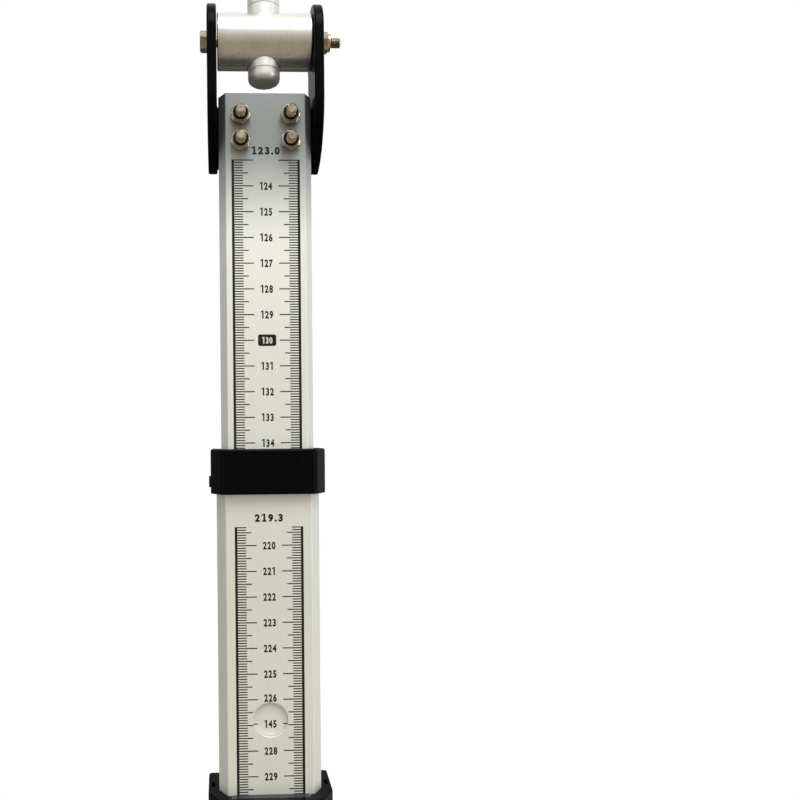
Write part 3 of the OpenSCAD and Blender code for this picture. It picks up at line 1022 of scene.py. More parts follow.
@dataclass
class Typeface:
    """Digits as thin solid shapes of height 1, centred on x = 0, with their feet at z = 0.

    The weight is how far each outline is grown, the squeeze is the width as a share of the plain
    width, and a footed 1 stands on a bar. The other sizes are shares of the height.
    """

    weight: float
    squeeze: float
    footed: bool
    plain_height: float = 0.729
    merge: float = 1e-5
    stem: float = 0.12
    stem_shift: float = 0.04
    flag: float = 0.25
    flag_level: float = 0.87
    flag_foot: float = 0.84
    flag_share: float = 0.8
    lap: float = 0.02
    foot: float = 0.15
    foot_share: float = 0.85
    known: dict[str, Surface] = field(default_factory=dict)

    def glyph(self, letter: str) -> Surface:
        """The solid of one digit: x across, z up, and y from 0 at the back to -1 at the front.

        Args:
            letter: a digit or the point.

        Returns:
            Its triangles.
        """
        if letter not in self.known:
            self.known[letter] = self.one() if letter == "1" else self.lettered(letter)
        return self.known[letter]

    def lettered(self, letter: str) -> Surface:
        """A digit from the plain built-in letters, grown by the weight and narrowed.

        Args:
            letter: a digit or the point.

        Returns:
            Its triangles.
        """
        curve = bpy.data.curves.new("digit", "FONT")
        curve.body = letter
        curve.size = 1.0
        curve.resolution_u = 3
        curve.offset = self.weight
        curve.extrude = 0.5
        holder = added("digit", curve)
        graph = bpy.context.evaluated_depsgraph_get()
        mesh = bpy.data.meshes.new_from_object(holder.evaluated_get(graph))
        work = bmesh.new()
        work.from_mesh(mesh)
        bmesh.ops.remove_doubles(work, verts=work.verts, dist=self.merge)
        bmesh.ops.triangulate(work, faces=work.faces)
        bmesh.ops.recalc_face_normals(work, faces=work.faces)
        work.to_mesh(mesh)
        work.free()
        points = np.empty(len(mesh.vertices) * 3)
        mesh.vertices.foreach_get("co", points)
        points = points.reshape(-1, 3)
        faces = np.empty(len(mesh.polygons) * 3, int)
        mesh.polygons.foreach_get("vertices", faces)
        bpy.data.objects.remove(holder)
        tall = self.plain_height + 2 * self.weight
        x = (points[:, 0] - (points[:, 0].min() + points[:, 0].max()) / 2) / tall * self.squeeze
        z = (points[:, 1] + self.weight) / tall
        y = -(points[:, 2] + 0.5)
        return Surface(np.column_stack([x, y, z]), faces.reshape(-1, 3))

    def one(self) -> Surface:
        """The digit 1: a stem, a slanted flag at its left, and a bar below it where it has one.

        Returns:
            Its triangles, on the same scale as the other digits.
        """
        stem = (self.stem + 2 * self.weight) * (0.5 + self.squeeze / 2)
        left, right = self.stem_shift - stem / 2, self.stem_shift + stem / 2
        end, lap = left - self.flag * self.squeeze, self.lap
        quads = [
            [(left, 0), (right, 0), (right, 1), (left, 1)],
            [
                (end, self.flag_level - stem * self.flag_share), (left + lap, self.flag_foot),
                (left + lap, 1 - lap / 2), (end, self.flag_level),
            ],
        ]
        if self.footed:
            bar, foot = stem * self.foot_share, self.foot
            quads.append([
                (left - foot, lap / 2), (right + foot, lap / 2),
                (right + foot, bar), (left - foot, bar),
            ])
        flat = np.array(quads)
        around = np.zeros((len(quads), 8, 3))
        around[:, :4, 0], around[:, 4:, 0] = flat[..., 0], flat[..., 0]
        around[:, :4, 2], around[:, 4:, 2] = flat[..., 1], flat[..., 1]
        around[:, :4, 1] = -1.0
        sides = np.array([
            [0, 1, 2], [0, 2, 3], [4, 6, 5], [4, 7, 6], [0, 4, 5], [0, 5, 1],
            [1, 5, 6], [1, 6, 2], [2, 6, 7], [2, 7, 3], [3, 7, 4], [3, 4, 0],
        ])
        faces = sides[None] + 8 * np.arange(len(quads))[:, None, None]
        return Surface(around.reshape(-1, 3), faces.reshape(-1, 3))

    def line(
        self, text: str, height: float, pitch: float, thick: float,
        centre: tuple[float, float, float],
    ) -> Surface:
        """A number, one digit a cell. A point takes half a cell.

        Args:
            text: the digits.
            height: their height.
            pitch: the width of a cell.
            thick: how thick the print is.
            centre: middle of the number, on the print's back.

        Returns:
            Its triangles.
        """
        cells = np.array([0.5 if t == "." else 1.0 for t in text]) * pitch
        middles = np.cumsum(cells) - cells / 2 - cells.sum() / 2
        parts = []
        for letter, middle in zip(text, middles):
            shape = self.glyph(letter)
            scale = np.array([height, thick, height])
            move = np.array([centre[0] + middle, centre[1], centre[2] - height / 2])
            parts.append(Surface(shape.points * scale + move, shape.faces))
        return Surface.joined(parts)


@dataclass
class PrintedScale:
    """The scale on a section's front: two bars, their ticks, and a number at each centimetre."""

    tube: str
    body: str
    start_mm: int
    start_drop: float
    length_mm: int
    plain_tens: tuple[int, ...] = ()
    hole_drop: float | None = 102.5 * MM
    hole_radius: float = 6.9 * MM
    hole_rim: float = 0.15 * MM
    half_width: float = 13.33 * MM
    bar: float = 0.97 * MM
    line: float = 0.42 * MM
    millimetre: float = 4.4 * MM
    half_centimetre: float = 6.4 * MM
    centimetre: float = 8.4 * MM
    thick: float = 0.03 * MM
    number_height: float = 3.15 * MM
    number_pitch: float = 1.72 * MM
    box_size: tuple[float, float, float] = (7.1 * MM, 4.5 * MM, 0.8 * MM)
    label_height: float = 3.15 * MM
    label_pitch: float = 2.58 * MM
    label_rise: float = 3.75 * MM
    boxed_share: float = 0.84
    tick_gap: float = 0.2 * MM
    lift_gap: float = 0.05 * MM
    most_lift: float = 1 * MM
    narrow: Typeface = field(default_factory=lambda: Typeface(0.042, 0.72, False))
    bold: Typeface = field(default_factory=lambda: Typeface(0.055, 0.98, True))
    face: float = field(init=False)
    start: float = field(init=False)
    hole: float | None = field(init=False)

    def __post_init__(self) -> None:
        """Works out where the front face, the first tick and the lock hole's middle are."""
        low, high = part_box(self.tube)
        self.face = low.y
        self.start = high.z - self.start_drop
        self.hole = None if self.hole_drop is None else high.z - self.hole_drop

    def build(self) -> None:
        """Builds the bars and ticks, the numbers, the boxes behind the tens and the start label."""
        self.ticks().piece(self.tube + "_ticks", INK, self.body)
        readings = np.arange(self.start_mm, self.start_mm + self.length_mm + 1)
        whole = [int(r) // 10 for r in readings if r % 10 == 0 and r > self.start_mm]
        boxed = [n for n in whole if n % 10 == 0 and n not in self.plain_tens]
        plain = [n for n in whole if n not in boxed and not self.lost(n)]
        met = [n for n in plain if self.meets_hole(n, self.number_height)]
        clear = [n for n in plain if n not in met]
        self.plain_numbers(clear, "_numbers")
        if met:
            self.drilled(self.plain_numbers(met, "_numbers_at_hole"))
        met = [n for n in boxed if self.meets_hole(n, self.box_size[1])]
        self.boxed_numbers([n for n in boxed if n not in met], "")
        if met:
            for made in self.boxed_numbers(met, "_at_hole"):
                self.drilled(made)
        label = self.bold.line(
            f"{self.start_mm / 10:.1f}", self.label_height, self.label_pitch, self.thick,
            (0, self.face, self.start + self.label_rise),
        )
        label.piece(self.tube + "_label", INK, self.body, PRINT_CREASE)

    def depths(self) -> tuple[float, float]:
        """Where the print's back and front are: a third of it is sunk into the face."""
        return self.face + self.thick / 3, self.face - self.thick

    def level(self, centimetres: float) -> float:
        """The height of a reading on this section."""
        return self.start - (centimetres * 10 - self.start_mm) * MM

    def plain_numbers(self, values: list[int], ending: str) -> bpy.types.Object:
        """Builds the plain numbers at some readings, as one piece."""
        shape = self.numbers(values, self.number_height, 0.0)
        return shape.piece(self.tube + ending, INK, self.body, PRINT_CREASE)

    def boxed_numbers(self, values: list[int], ending: str) -> list[bpy.types.Object]:
        """Builds the black boxes at some readings, and the bare numbers on them.

        Args:
            values: the readings in centimetres.
            ending: what the pieces' names end with.

        Returns:
            The boxes and the numbers.
        """
        boxes = self.boxes(values)
        numbers = self.numbers(values, self.number_height * self.boxed_share, self.thick)
        name = self.tube + "_boxed_numbers" + ending
        return [
            boxes.piece(self.tube + "_boxes" + ending, INK, self.body),
            numbers.piece(name, BARE, self.body, PRINT_CREASE),
        ]

    def drilled(self, made: bpy.types.Object) -> None:
        """Takes away what a printed piece has in front of the lock hole.

        Args:
            made: the printed piece.
        """
        axis = Axis(Vector((0, self.face - OVER, self.hole)), Y, Z)
        carved(made, [drill(axis, self.hole_radius + self.hole_rim, 2 * OVER, 48)])

    def meets_hole(self, centimetres: int, height: float) -> bool:
        """Whether what is printed at a reading meets the lock hole.

        Args:
            centimetres: the reading.
            height: the print's height.

        Returns:
            True where the print and the hole overlap in height.
        """
        if self.hole is None:
            return False
        reach = self.hole_radius + self.hole_rim + height / 2
        return abs(self.level(centimetres) + self.lift(centimetres) - self.hole) < reach

    def lost(self, centimetres: int) -> bool:
        """Whether nothing is left of a number, because it lies wholly in the lock hole.

        Args:
            centimetres: the reading.

        Returns:
            True where the number's farthest corner is still in the hole.
        """
        if self.hole is None:
            return False
        across = 1.5 * self.number_pitch
        up = abs(self.level(centimetres) - self.hole) + self.number_height / 2
        return math.hypot(across, up) < self.hole_radius + self.hole_rim

    def lift(self, centimetres: int) -> float:
        """How much higher a number is set that would only just meet the top of the lock hole.

        Args:
            centimetres: the reading.

        Returns:
            The lift, which is nothing for every other number.
        """
        if self.hole is None:
            return 0.0
        edge = self.hole + self.hole_radius + self.hole_rim
        over = edge - self.level(centimetres) + self.number_height / 2
        return over + self.lift_gap if 0 < over < self.most_lift else 0.0

    def ticks(self) -> Surface:
        """Both bars and every tick, as thin boxes.

        A tick runs inwards from the bar's outer edge. Its length goes by its reading, and beside
        the lock hole it stops at the hole's edge, sqrt(radius^2 - height^2) from the middle.

        Returns:
            All of them in one surface.
        """
        steps = np.arange(self.length_mm + 1)
        reading = self.start_mm + steps
        size = np.where(
            reading % 10 == 0, self.centimetre,
            np.where(reading % 5 == 0, self.half_centimetre, self.millimetre),
        )
        level = self.start - steps * MM
        inner = self.half_width - size
        if self.hole is not None:
            edge = self.hole_radius + self.tick_gap
            reach = np.sqrt(np.maximum(edge ** 2 - (level - self.hole) ** 2, 0))
            inner = np.maximum(inner, reach)
        back, front = self.depths()
        ones = np.ones(len(steps))
        outer = ones * (self.half_width - self.bar / 2)
        sides = []
        for side in (-1, 1):
            ends = np.sort(np.stack([side * inner, side * outer]), axis=0)
            lowest = np.column_stack([ends[0], front * ones, level - self.line / 2])
            highest = np.column_stack([ends[1], back * ones, level + self.line / 2])
            sides.append(slabs(lowest, highest))
            edge = sorted((side * self.half_width, side * (self.half_width - self.bar)))
            top, foot = self.start + self.line / 2, self.start - self.length_mm * MM - self.line / 2
            sides.append(slab((edge[0], front - self.thick / 6, foot), (edge[1], back, top)))
        return Surface.joined(sides)

    def numbers(self, values: list[int], height: float, proud: float) -> Surface:
        """The numbers at their own ticks.

        Args:
            values: the readings in centimetres.
            height: their height.
            proud: how far they stand off the print below them.

        Returns:
            All of them in one surface.
        """
        pitch = self.number_pitch * height / self.number_height
        return Surface.joined([
            self.narrow.line(
                str(v), height, pitch, self.thick + proud,
                (0, self.depths()[0], self.level(v) + self.lift(v)),
            )
            for v in values
        ])

    def boxes(self, values: list[int]) -> Surface:
        """Rounded black boxes: the corner arcs of a rectangle, carried from the face to the front.

        Args:
            values: the readings in centimetres.

        Returns:
            All of them in one surface.
        """
        width, height, corner = self.box_size
        half = np.array([width / 2, height / 2])
        corners = np.array([[-1, -1], [1, -1], [1, 1], [-1, 1]]) * half
        flat = Outline.softened(corners, np.full(4, corner))
        around = len(flat)
        back, front = self.depths()
        rows = [(0.0, back), (1.0, back), (1.0, front), (0.0, front)]
        parts = []
        for value in values:
            level = self.level(value)
            rings = np.stack([
                np.column_stack([flat[:, 0] * s, np.full(around, y), flat[:, 1] * s + level])
                for s, y in rows
            ])
            parts.append(Surface.of_rings(rings, closed=False))
        return Surface.joined(parts)


@dataclass
class Tube:
    """A section: the outline's tube with softened edges and its round holes."""

    node: str
    body: str
    finish: Finish
    button: str = ""
    hole_drop: float | None = 102.5 * MM
    button_hole: float = 6.8 * MM
    hole_radius: float = 6.9 * MM
    wall: float = 1.4 * MM
    edge: float = 0.45 * MM
    inner_edge: float = 0.2 * MM
    lip: float = 0.15 * MM

    def build(self) -> bpy.types.Object:
        """Carries the outline up the outside and down the inside, and drills the holes.

        Returns:
            The piece, which replaces the node.
        """
        low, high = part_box(self.node)
        plan = Outline.of(self.node)
        outer, inner = np.full(6, self.edge), np.full(6, self.inner_edge)
        steps = [
            (0.0, outer, low.z + self.lip), (0.0, outer, high.z - self.lip),
            (-self.lip, outer, high.z), (-self.wall + self.lip, inner, high.z),
            (-self.wall, inner, high.z - self.lip), (-self.wall, inner, low.z + self.lip),
            (-self.wall + self.lip, inner, low.z), (-self.lip, outer, low.z),
        ]
        rings = []
        for growth, radii, height in steps:
            flat = Outline.softened(plan.corners(*(growth,) * 4), radii)
            rings.append(np.column_stack([flat, np.full(len(flat), height)]))
        made = Surface.of_rings(np.array(rings), closed=True).piece(
            self.node + "_drawn", self.finish, self.body
        )
        holes = []
        if self.hole_drop is not None:
            holes.append((high.z - self.hole_drop, self.hole_radius))
        if self.button:
            lower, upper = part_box(self.button)
            holes.append(((lower.z + upper.z) / 2, self.button_hole))
        deep = self.wall + 1.5 * OVER
        for level, radius in holes:
            axis = Axis(Vector((0, low.y - OVER, level)), Y, Z)
            carved(made, [drill(axis, radius, deep, 72)])
        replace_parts(made, self.node)
        return made


@dataclass
class Sections:
    """The five aluminium sections with their scales, collars, guides and buttons."""

    first_drop: float = 26 * MM
    drop: float = 27.5 * MM

    def build(self) -> None:
        """Dresses the tubes and builds what is printed and moulded on them."""
        Tube("base_tube", "base", ANODISED).build()
        for number in "432":
            Tube("tube_" + number, "section_" + number, ANODISED, "lock_button_" + number).build()
        Tube("tube_1", "section_1", SHADED, "lock_button_1", hole_drop=None).build()
        PrintedScale("tube_1", "section_1", 1230, self.first_drop, 963, hole_drop=None).build()
        PrintedScale("tube_2", "section_2", 2193, self.drop, 969, plain_tens=(220,)).build()
        PrintedScale("tube_3", "section_3", 3162, self.drop, 969).build()
        PrintedScale("tube_4", "section_4", 4131, self.drop, 969).build()
        Collar("collar_a", "tube_2", "tube_1", "section_2").build()
        Collar("collar_b", "tube_3", "tube_2", "section_3").build()
        Collar("collar_c", "tube_4", "tube_3", "section_4").build()
        Collar("collar_d", "base_tube", "tube_4", "base").build()
        for letter in "abcd":
            keep("pad_" + letter, PAD)
            keep("collar_screws_" + letter, MOULDED_BLACK)
        for number in "1234":
            keep("guide_" + number, GUIDE)
            keep("lock_button_" + number, BUTTON)
            Coil("button_spring_" + number, "section_" + number).build()


@dataclass
class Coil:
    """The spring behind a lock button: a round wire carried along a helix about -Y."""

    node: str
    body: str
    wire: float = 0.7 * MM
    turns: int = 5
    rings_a_turn: int = 24
    sides: int = 12

    def build(self) -> bpy.types.Object:
        """Carries a circle along the helix, drawn in to a point at both ends.

        Returns:
            The piece, which replaces the node.
        """
        low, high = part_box(self.node)
        centre = (low + high) / 2
        radius = (high.x - low.x - self.wire) / 2
        turn = np.linspace(0, self.turns, self.turns * self.rings_a_turn + 1)
        turn = np.concatenate([[0], turn, [self.turns]])
        thick = np.full(len(turn), self.wire / 2)
        thick[[0, -1]] = 0
        angle = 2 * math.pi * turn
        rise = self.wire / 2 + (high.y - low.y - self.wire) * turn / self.turns
        out = np.stack([np.cos(angle), np.zeros_like(angle), np.sin(angle)], -1)
        start, ahead = np.array([centre.x, high.y, centre.z]), np.array([0, 1, 0])
        middle = start + radius * out - rise[:, None] * ahead
        around = angles(self.sides)
        outwards = np.cos(around)[None, :, None] * out[:, None, :]
        circle = outwards + np.sin(around)[None, :, None] * ahead
        rings = middle[:, None, :] + thick[:, None, None] * circle
        made = Surface.of_rings(rings, closed=False).piece(self.node + "_coil", SPRING, self.body)
        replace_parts(made, self.node)
        return made


@dataclass
class Head:
    """The head: bracket, bolts, roller and rod."""

    body: str = "section_1"
    swivel: str = "swivel"
    bolt_size: float = 4.0 * MM
    flats: float = 7.0 * MM
    bolt_head: float = 2.8 * MM
    nut: float = 3.2 * MM
    columns: float = 19.4 * MM
    rows: float = 10 * MM
    first_row: float = 9 * MM
    rod_edge: float = 0.8 * MM
    rod_nose: float = 2.2 * MM
    groove_place: float = 4.2 * MM
    groove_height: float = 0.8 * MM
    groove_depth: float = 0.4 * MM
    upper_groove: float = 29.6 * MM
    upper_height: float = 0.4 * MM
    ear_corner: float = 1.7 * MM
    merge: float = 1e-6
    flat_degrees: float = 1.0
    paint_edge: float = 0.7 * MM
    paint_degrees: float = 40.0
    paint_crease: float = 30.0
    first_turn: float = 13.0
    next_turn: float = 17.0
    roller_edge: float = 0.5 * MM
    bore_gap: float = 0.25 * MM
    spigot: float = 5.5 * MM
    spigot_length: float = 28 * MM
    shoulder_edge: float = 0.2 * MM

    def build(self) -> None:
        """Builds the head's pieces in the order in which they are put together."""
        keep("top_plug", GUIDE)
        keep("spring_washers", ZINC)
        keep("pivot_washer", ZINC)
        self.bracket()
        self.bracket_bolts()
        self.pivot()
        self.roller()
        self.rod()

    def bracket(self) -> bpy.types.Object:
        """Copies the sheet bracket and rounds its edges as paint does.

        Returns:
            The piece, which replaces the node.
        """
        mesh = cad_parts["bracket"].data.copy()
        work = bmesh.new()
        work.from_mesh(mesh)
        flat = math.radians(self.flat_degrees)
        bmesh.ops.remove_doubles(work, verts=work.verts, dist=self.merge)
        bmesh.ops.dissolve_limit(work, angle_limit=flat, verts=work.verts, edges=work.edges)
        low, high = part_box("bracket")
        near = 0.02 * MM
        lower = [
            e for e in work.edges
            if all(v.co.z < low.z + near and abs(v.co.x) > high.x - near for v in e.verts)
        ]
        bmesh.ops.bevel(
            work, geom=lower, offset=self.ear_corner, segments=4, profile=0.5, affect="EDGES"
        )
        work.to_mesh(mesh)
        work.free()
        made = added("bracket_painted", mesh)
        soft = made.modifiers.new("edge", "BEVEL")
        soft.width = self.paint_edge
        soft.segments = 3
        soft.limit_method = "ANGLE"
        soft.angle_limit = math.radians(self.paint_degrees)
        soft.use_clamp_overlap = False
        dress(made, PAINTED_BLACK, self.body, self.paint_crease)
        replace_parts(made, "bracket")
        return made

    def bracket_bolts(self) -> None:
        """Builds the four bolts and their nuts, each turned a little further than the last."""
        low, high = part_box("bracket_bolts")
        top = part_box("tube_1")[1].z
        seat = high.y - self.bolt_head
        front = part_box("spring_washers")[0].y
        shape = BoltShape(self.bolt_size, self.flats, self.bolt_head, seat - low.y)
        nut = LockNut(self.flats, self.nut, self.bolt_size)
        bolts, nuts, inserts = [], [], []
        for number, (column, row) in enumerate(((-1, 0), (1, 0), (-1, 1), (1, 1))):
            level = top - self.first_row - row * self.rows
            place = Vector((column * self.columns / 2, seat, level))
            turn = math.radians(self.first_turn + self.next_turn * number)
            side = Vector((math.cos(turn), 0, math.sin(turn)))
            bolts.append(shape.surface(Axis(place, -Y, side)))
            outer = Axis(Vector((place.x, front, place.z)), -Y, side)
            nuts.append(nut.surface(outer))
            inserts.append(nut.insert(outer))
        made = Surface.joined(bolts).piece("bracket_bolts_threaded", ZINC, self.body)
        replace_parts(made, "bracket_bolts")
        made = Surface.joined(nuts).piece("bracket_nuts_turned", ZINC, self.body)
        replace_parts(made, "bracket_nuts")
        Surface.joined(inserts).piece("bracket_nut_inserts", NYLON, self.body)

    def pivot(self) -> None:
        """Builds the pivot bolt and its nut."""
        low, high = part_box("pivot_bolt")
        level = (low.z + high.z) / 2
        seat = low.x + self.bolt_head
        axis = Axis(Vector((seat, 0, level)), X, Z)
        shape = BoltShape(self.bolt_size, self.flats, self.bolt_head, high.x - seat)
        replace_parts(shape.surface(axis).piece("pivot_bolt_threaded", ZINC, self.body), "pivot_bolt")
        outer = Axis(Vector((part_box("pivot_nut")[0].x, 0, level)), X, Z)
        nut = LockNut(self.flats, self.nut, self.bolt_size)
        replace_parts(nut.surface(outer).piece("pivot_nut_turned", ZINC, self.body), "pivot_nut")
        nut.insert(outer).piece("pivot_nut_insert", NYLON, self.body)

    def roller(self) -> bpy.types.Object:
        """Turns the roller with soft ends and drills it for the rod.

        Returns:
            The piece, which replaces the node.
        """
        low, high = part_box("roller")
        radius = (high.z - low.z) / 2
        level = (high.z + low.z) / 2
        length = high.x - low.x
        edge = self.roller_edge
        axis = Axis(Vector((low.x, 0, level)), X, Z)
        profile = [
            (0, 0), *rounded_edge(radius, 0, edge, 1, -1),
            *rounded_edge(radius, length, edge, -1, 1), (0, length),
        ]
        made = turned(axis, profile, 128).piece("roller_turned", TURNED, self.swivel)
        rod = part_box("cross_rod")
        bore = (rod[1].x - rod[0].x) / 2 + self.bore_gap
        down = Axis(Vector((0, 0, low.z - OVER)), Z, X)
        carved(made, [drill(down, bore, 2 * radius + 2 * OVER, 96)])
        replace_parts(made, "roller")
        return made

    def rod(self) -> bpy.types.Object:
        """Turns the rod, with its groove near the lower end and its turned-down upper end.

        Returns:
            The piece, which replaces the node.
        """
        low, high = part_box("cross_rod")
        radius = (high.x - low.x) / 2
        length = high.z - low.z
        spigot, shoulder = self.spigot, length - self.spigot_length
        neck = radius - self.groove_depth
        soft, end = 0.1 * MM, self.rod_edge
        groove, groove_top = self.groove_place, self.groove_place + self.groove_height
        upper, upper_top = self.upper_groove, self.upper_groove + self.upper_height
        profile = [
            (0, 0), *rounded_edge(radius, 0, self.rod_nose, 1, -1),
            (radius, groove), (neck, groove + soft),
            (neck, groove_top - soft), (radius, groove_top),
            (radius, upper), (neck, upper + soft / 2), (neck, upper_top), (radius, upper_top),
            *rounded_edge(radius, shoulder, self.shoulder_edge, -1, 1), (spigot, shoulder),
            (spigot, length - end), (spigot - end, length), (0, length),
        ]
        axis = Axis(Vector((0, 0, low.z)), Z, X)
        made = turned(axis, profile, 96).piece("cross_rod_turned", ROD_STEEL, self.swivel)
        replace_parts(made, "cross_rod")
        return made


@dataclass
class Foot:
    """The foot: cap, plate and screws keep their solids."""

    def build(self) -> None:
        """Dresses the foot's nodes."""
        keep("base_cap", MOULDED_BLACK)
        keep("foot_plate", FOOT_STEEL)
        keep("foot_screws", ZINC)


def keep(node: str, finish: Finish) -> None:
    """Keeps a node's own solid and gives it a finish.

    Args:
        node: the node's name.
        finish: its finish.
    """
    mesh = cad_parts[node].data
    mesh.materials.clear()
    mesh.materials.append(finish.material())
    log.info("%s keeps its solid", node)


@dataclass
class Studio:
    """Pale floor, soft light and the camera."""

    focal_px: float = 800.0
    picture_px: float = 800.0
    sensor_mm: float = 36.0
    centre_px: tuple[float, float] = (252.7, 446.0)
    place: tuple[float, float, float] = (-18 * MM, -318.76 * MM, 1520.84 * MM)
    yaw: float = 2.203
    pitch: float = -0.5
    roll: float = -0.5
    room_strength: float = 1.3
    floor_size: float = 2.6
    floor_sides: int = 96
    floor_drop: float = 0.3 * MM
    floor_glow: float = 0.3
    lamp_strength: float = 1.85
    lamp_spread: float = 36.0

    def build(self) -> None:
        """Builds the camera, the world, the lamps and the floor."""
        self.camera()
        self.world()
        self.lamp("key", (0.7, -2.8, 4.0))
        self.floor()
        bpy.context.scene.view_settings.view_transform = "Standard"

    def camera(self) -> None:
        """Puts the camera where the photograph was taken from, by its turn, tilt and lean."""
        yaw, pitch, roll = (math.radians(v) for v in (self.yaw, self.pitch, self.roll))
        flat = math.cos(pitch)
        ahead = Vector((math.sin(yaw) * flat, math.cos(yaw) * flat, math.sin(pitch)))
        level = Vector((math.cos(yaw), -math.sin(yaw), 0))
        above = level.cross(ahead)
        right = level * math.cos(roll) + above * math.sin(roll)
        up = above * math.cos(roll) - level * math.sin(roll)
        data = bpy.data.cameras.new("camera")
        data.sensor_width = self.sensor_mm
        data.lens = self.focal_px / self.picture_px * self.sensor_mm
        half = self.picture_px / 2
        data.shift_x = (half - self.centre_px[0]) / self.picture_px
        data.shift_y = (self.centre_px[1] - half) / self.picture_px
        data.clip_start = 0.01
        data.clip_end = 50
        made = added("camera", data)
        turn = Matrix((right, up, -ahead)).transposed().to_4x4()
        made.matrix_world = Matrix.Translation(self.place) @ turn
        bpy.context.scene.camera = made

    def world(self) -> None:
        """Makes the world white where the camera looks past the object, and a room in reflections.

        In front the room goes from brown below to white above. At the sides it is bright on the
        right and dim on the left. Straight behind the object it is the white background above the
        horizon and dark below it, so that metal shows the background as well.
        """
        made = bpy.data.worlds.new("studio")
        bpy.context.scene.world = made
        made.use_nodes = True
        made.node_tree.nodes.clear()
        bench = NodeBench(made.node_tree)
        way = bench.add("TexCoord").outputs["Generated"]
        x, y, z = bench.add("SeparateXYZ", {0: way}).outputs
        front = bench.wide_ramp(z, (
            (-1.0, (0.16, 0.135, 0.095)), (-0.8, (0.19, 0.16, 0.115)), (-0.55, (0.24, 0.205, 0.15)),
            (-0.3, (0.31, 0.28, 0.225)), (-0.05, (0.40, 0.375, 0.33)), (0.15, (0.50, 0.49, 0.455)),
            (0.36, (0.60, 0.60, 0.585)), (0.5, (0.72, 0.72, 0.715)), (0.64, (0.90, 0.90, 0.90)),
            (0.8, (0.95, 0.95, 0.95)), (1.0, (0.70, 0.70, 0.70)),
        ))
        sides = bench.wide_ramp(z, (
            (-1.0, (0.14, 0.12, 0.09)), (-0.75, (0.18, 0.16, 0.12)), (-0.4, (0.56, 0.55, 0.53)),
            (0.0, (0.66, 0.67, 0.68)), (0.5, (0.70, 0.70, 0.71)), (0.8, (0.93, 0.93, 0.93)),
        ))
        across = bench.wide_ramp(x, (
            (-0.9, (0.34, 0.35, 0.36)), (-0.5, (0.44, 0.44, 0.44)), (0.0, (0.95, 0.95, 0.95)),
            (0.6, (0.92, 0.93, 0.94)), (1.0, (0.84, 0.86, 0.88)),
        ))
        back = bench.wide_ramp(z, (
            (-0.9, (0.16, 0.14, 0.105)), (-0.5, (0.09, 0.08, 0.065)), (0.0, (0.05, 0.046, 0.042)),
            (0.3, (0.10, 0.10, 0.10)), (0.55, (0.77, 0.77, 0.77)), (0.8, (1.0, 1.0, 1.0)),
        ))
        turning = bench.wide_ramp(y, ((-0.4, (0.0, 0.0, 0.0)), (0.15, (1.0, 1.0, 1.0))))
        straight = bench.wide_ramp(y, ((0.6, (0.0, 0.0, 0.0)), (0.85, (1.0, 1.0, 1.0))))
        room = bench.mix("MIX", turning, front, bench.mix("MULTIPLY", 1.0, sides, across))
        room = bench.mix("MIX", straight, room, back)
        strip = bench.wide_ramp(x, (
            (-0.88, (0.0, 0.0, 0.0)), (-0.85, (1.2, 1.2, 1.2)), (-0.83, (1.2, 1.2, 1.2)),
            (-0.80, (0.0, 0.0, 0.0)), (0.79, (0.0, 0.0, 0.0)), (0.825, (4.0, 4.0, 4.0)),
            (0.845, (4.0, 4.0, 4.0)), (0.88, (0.0, 0.0, 0.0)),
        ))
        ahead = bench.wide_ramp(y, ((-0.42, (1.0, 1.0, 1.0)), (-0.3, (0.0, 0.0, 0.0))))
        room = bench.mix("ADD", 1.0, room, bench.mix("MULTIPLY", 1.0, strip, ahead))
        seen = bench.add("Background", {"Color": (1, 1, 1, 1)})
        lit = bench.add("Background", {"Color": room, "Strength": self.room_strength})
        surface = bench.for_camera(lit.outputs[0], seen.outputs[0])
        bench.add("OutputWorld", {"Surface": surface})

    def lamp(self, name: str, towards: tuple[float, float, float]) -> None:
        """Adds a wide, distant lamp, which lights the staff alike at every height.

        Args:
            name: the lamp's name.
            towards: the way from the object to the lamp.
        """
        data = bpy.data.lights.new(name, "SUN")
        data.angle = math.radians(self.lamp_spread)
        data.energy = self.lamp_strength
        made = added(name, data)
        made.location = towards
        made.rotation_euler = Vector(towards).to_track_quat("Z", "Y").to_euler()

    def floor(self) -> None:
        """Lays a round floor under the foot: pale to the camera, and dim where metal mirrors it."""
        axis = Axis(Vector((0, 0, -self.floor_drop)), Z, X)
        rows = [(0.0, 0.0), (self.floor_size / 2, 0.0), (self.floor_size, 0.0)]
        shape = stacked(axis, rows, self.floor_sides, closed=False)
        mesh = bpy.data.meshes.new("floor")
        mesh.from_pydata(shape.points.tolist(), [], shape.faces.tolist())
        mesh.materials.append(self.floor_material())
        made = added("floor", mesh)

    def floor_material(self) -> bpy.types.Material:
        """Pale paint with a glow for camera rays, and a dimmer brown one for all other rays.

        Returns:
            The material. The paint under the glow still takes the object's shadow.
        """
        made = FLOOR.material()
        bench = NodeBench(made.node_tree)
        pale = bench.tree.nodes["Principled BSDF"]
        bench.feed(pale, {"Emission Color": (1, 1, 1, 1), "Emission Strength": self.floor_glow})
        place = bench.add("TexCoord").outputs["Object"]
        behind = bench.add("SeparateXYZ", {0: place}).outputs["Y"]
        # Painted light and shade: the brown that other rays see is lighter in front of the staff and
        # darker behind it, for what metal mirrors.
        brown = bench.wide_ramp(behind, ((-0.2, (0.27, 0.235, 0.18)), (0.3, (0.10, 0.09, 0.07))))
        dim = bench.add("BsdfDiffuse", {"Color": brown})
        surface = bench.for_camera(dim.outputs[0], pale.outputs[0])
        bench.feed(bench.tree.nodes["Material Output"], {"Surface": surface})
        return made


def corners(bounds: tuple[Vector, Vector]) -> list[list[float]]:
    """A box's two corners as plain lists."""
    return [list(map(float, corner)) for corner in bounds]


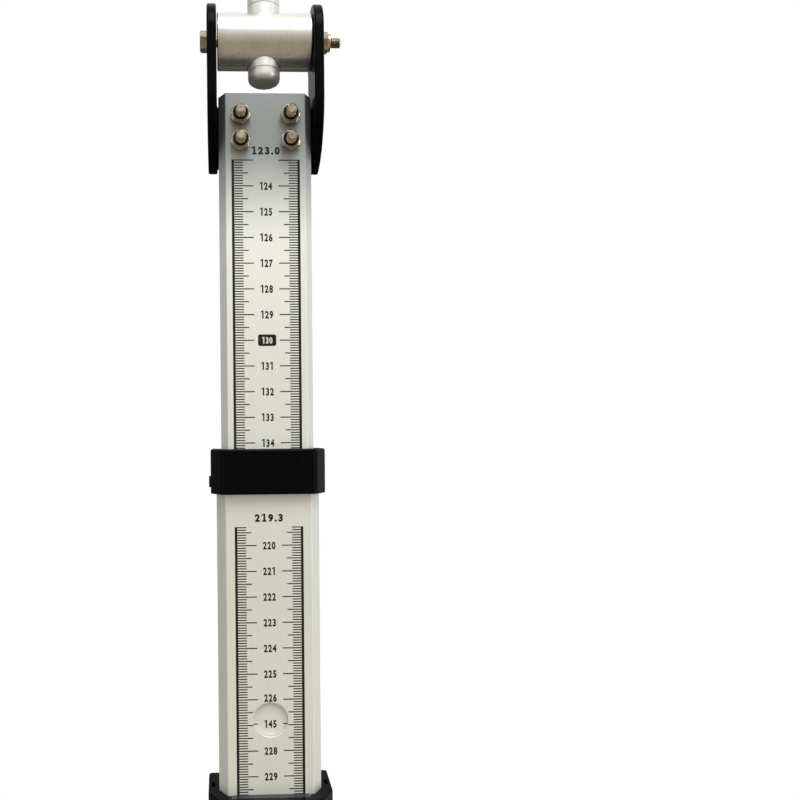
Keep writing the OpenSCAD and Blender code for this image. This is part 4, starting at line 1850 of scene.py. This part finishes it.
def main() -> None:
    """Builds the stage and the pieces."""
    logging.basicConfig(level=logging.INFO)
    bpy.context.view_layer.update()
    Studio().build()
    Sections().build()
    Head().build()
    Foot().build()


if __name__ == "__main__":
    main()
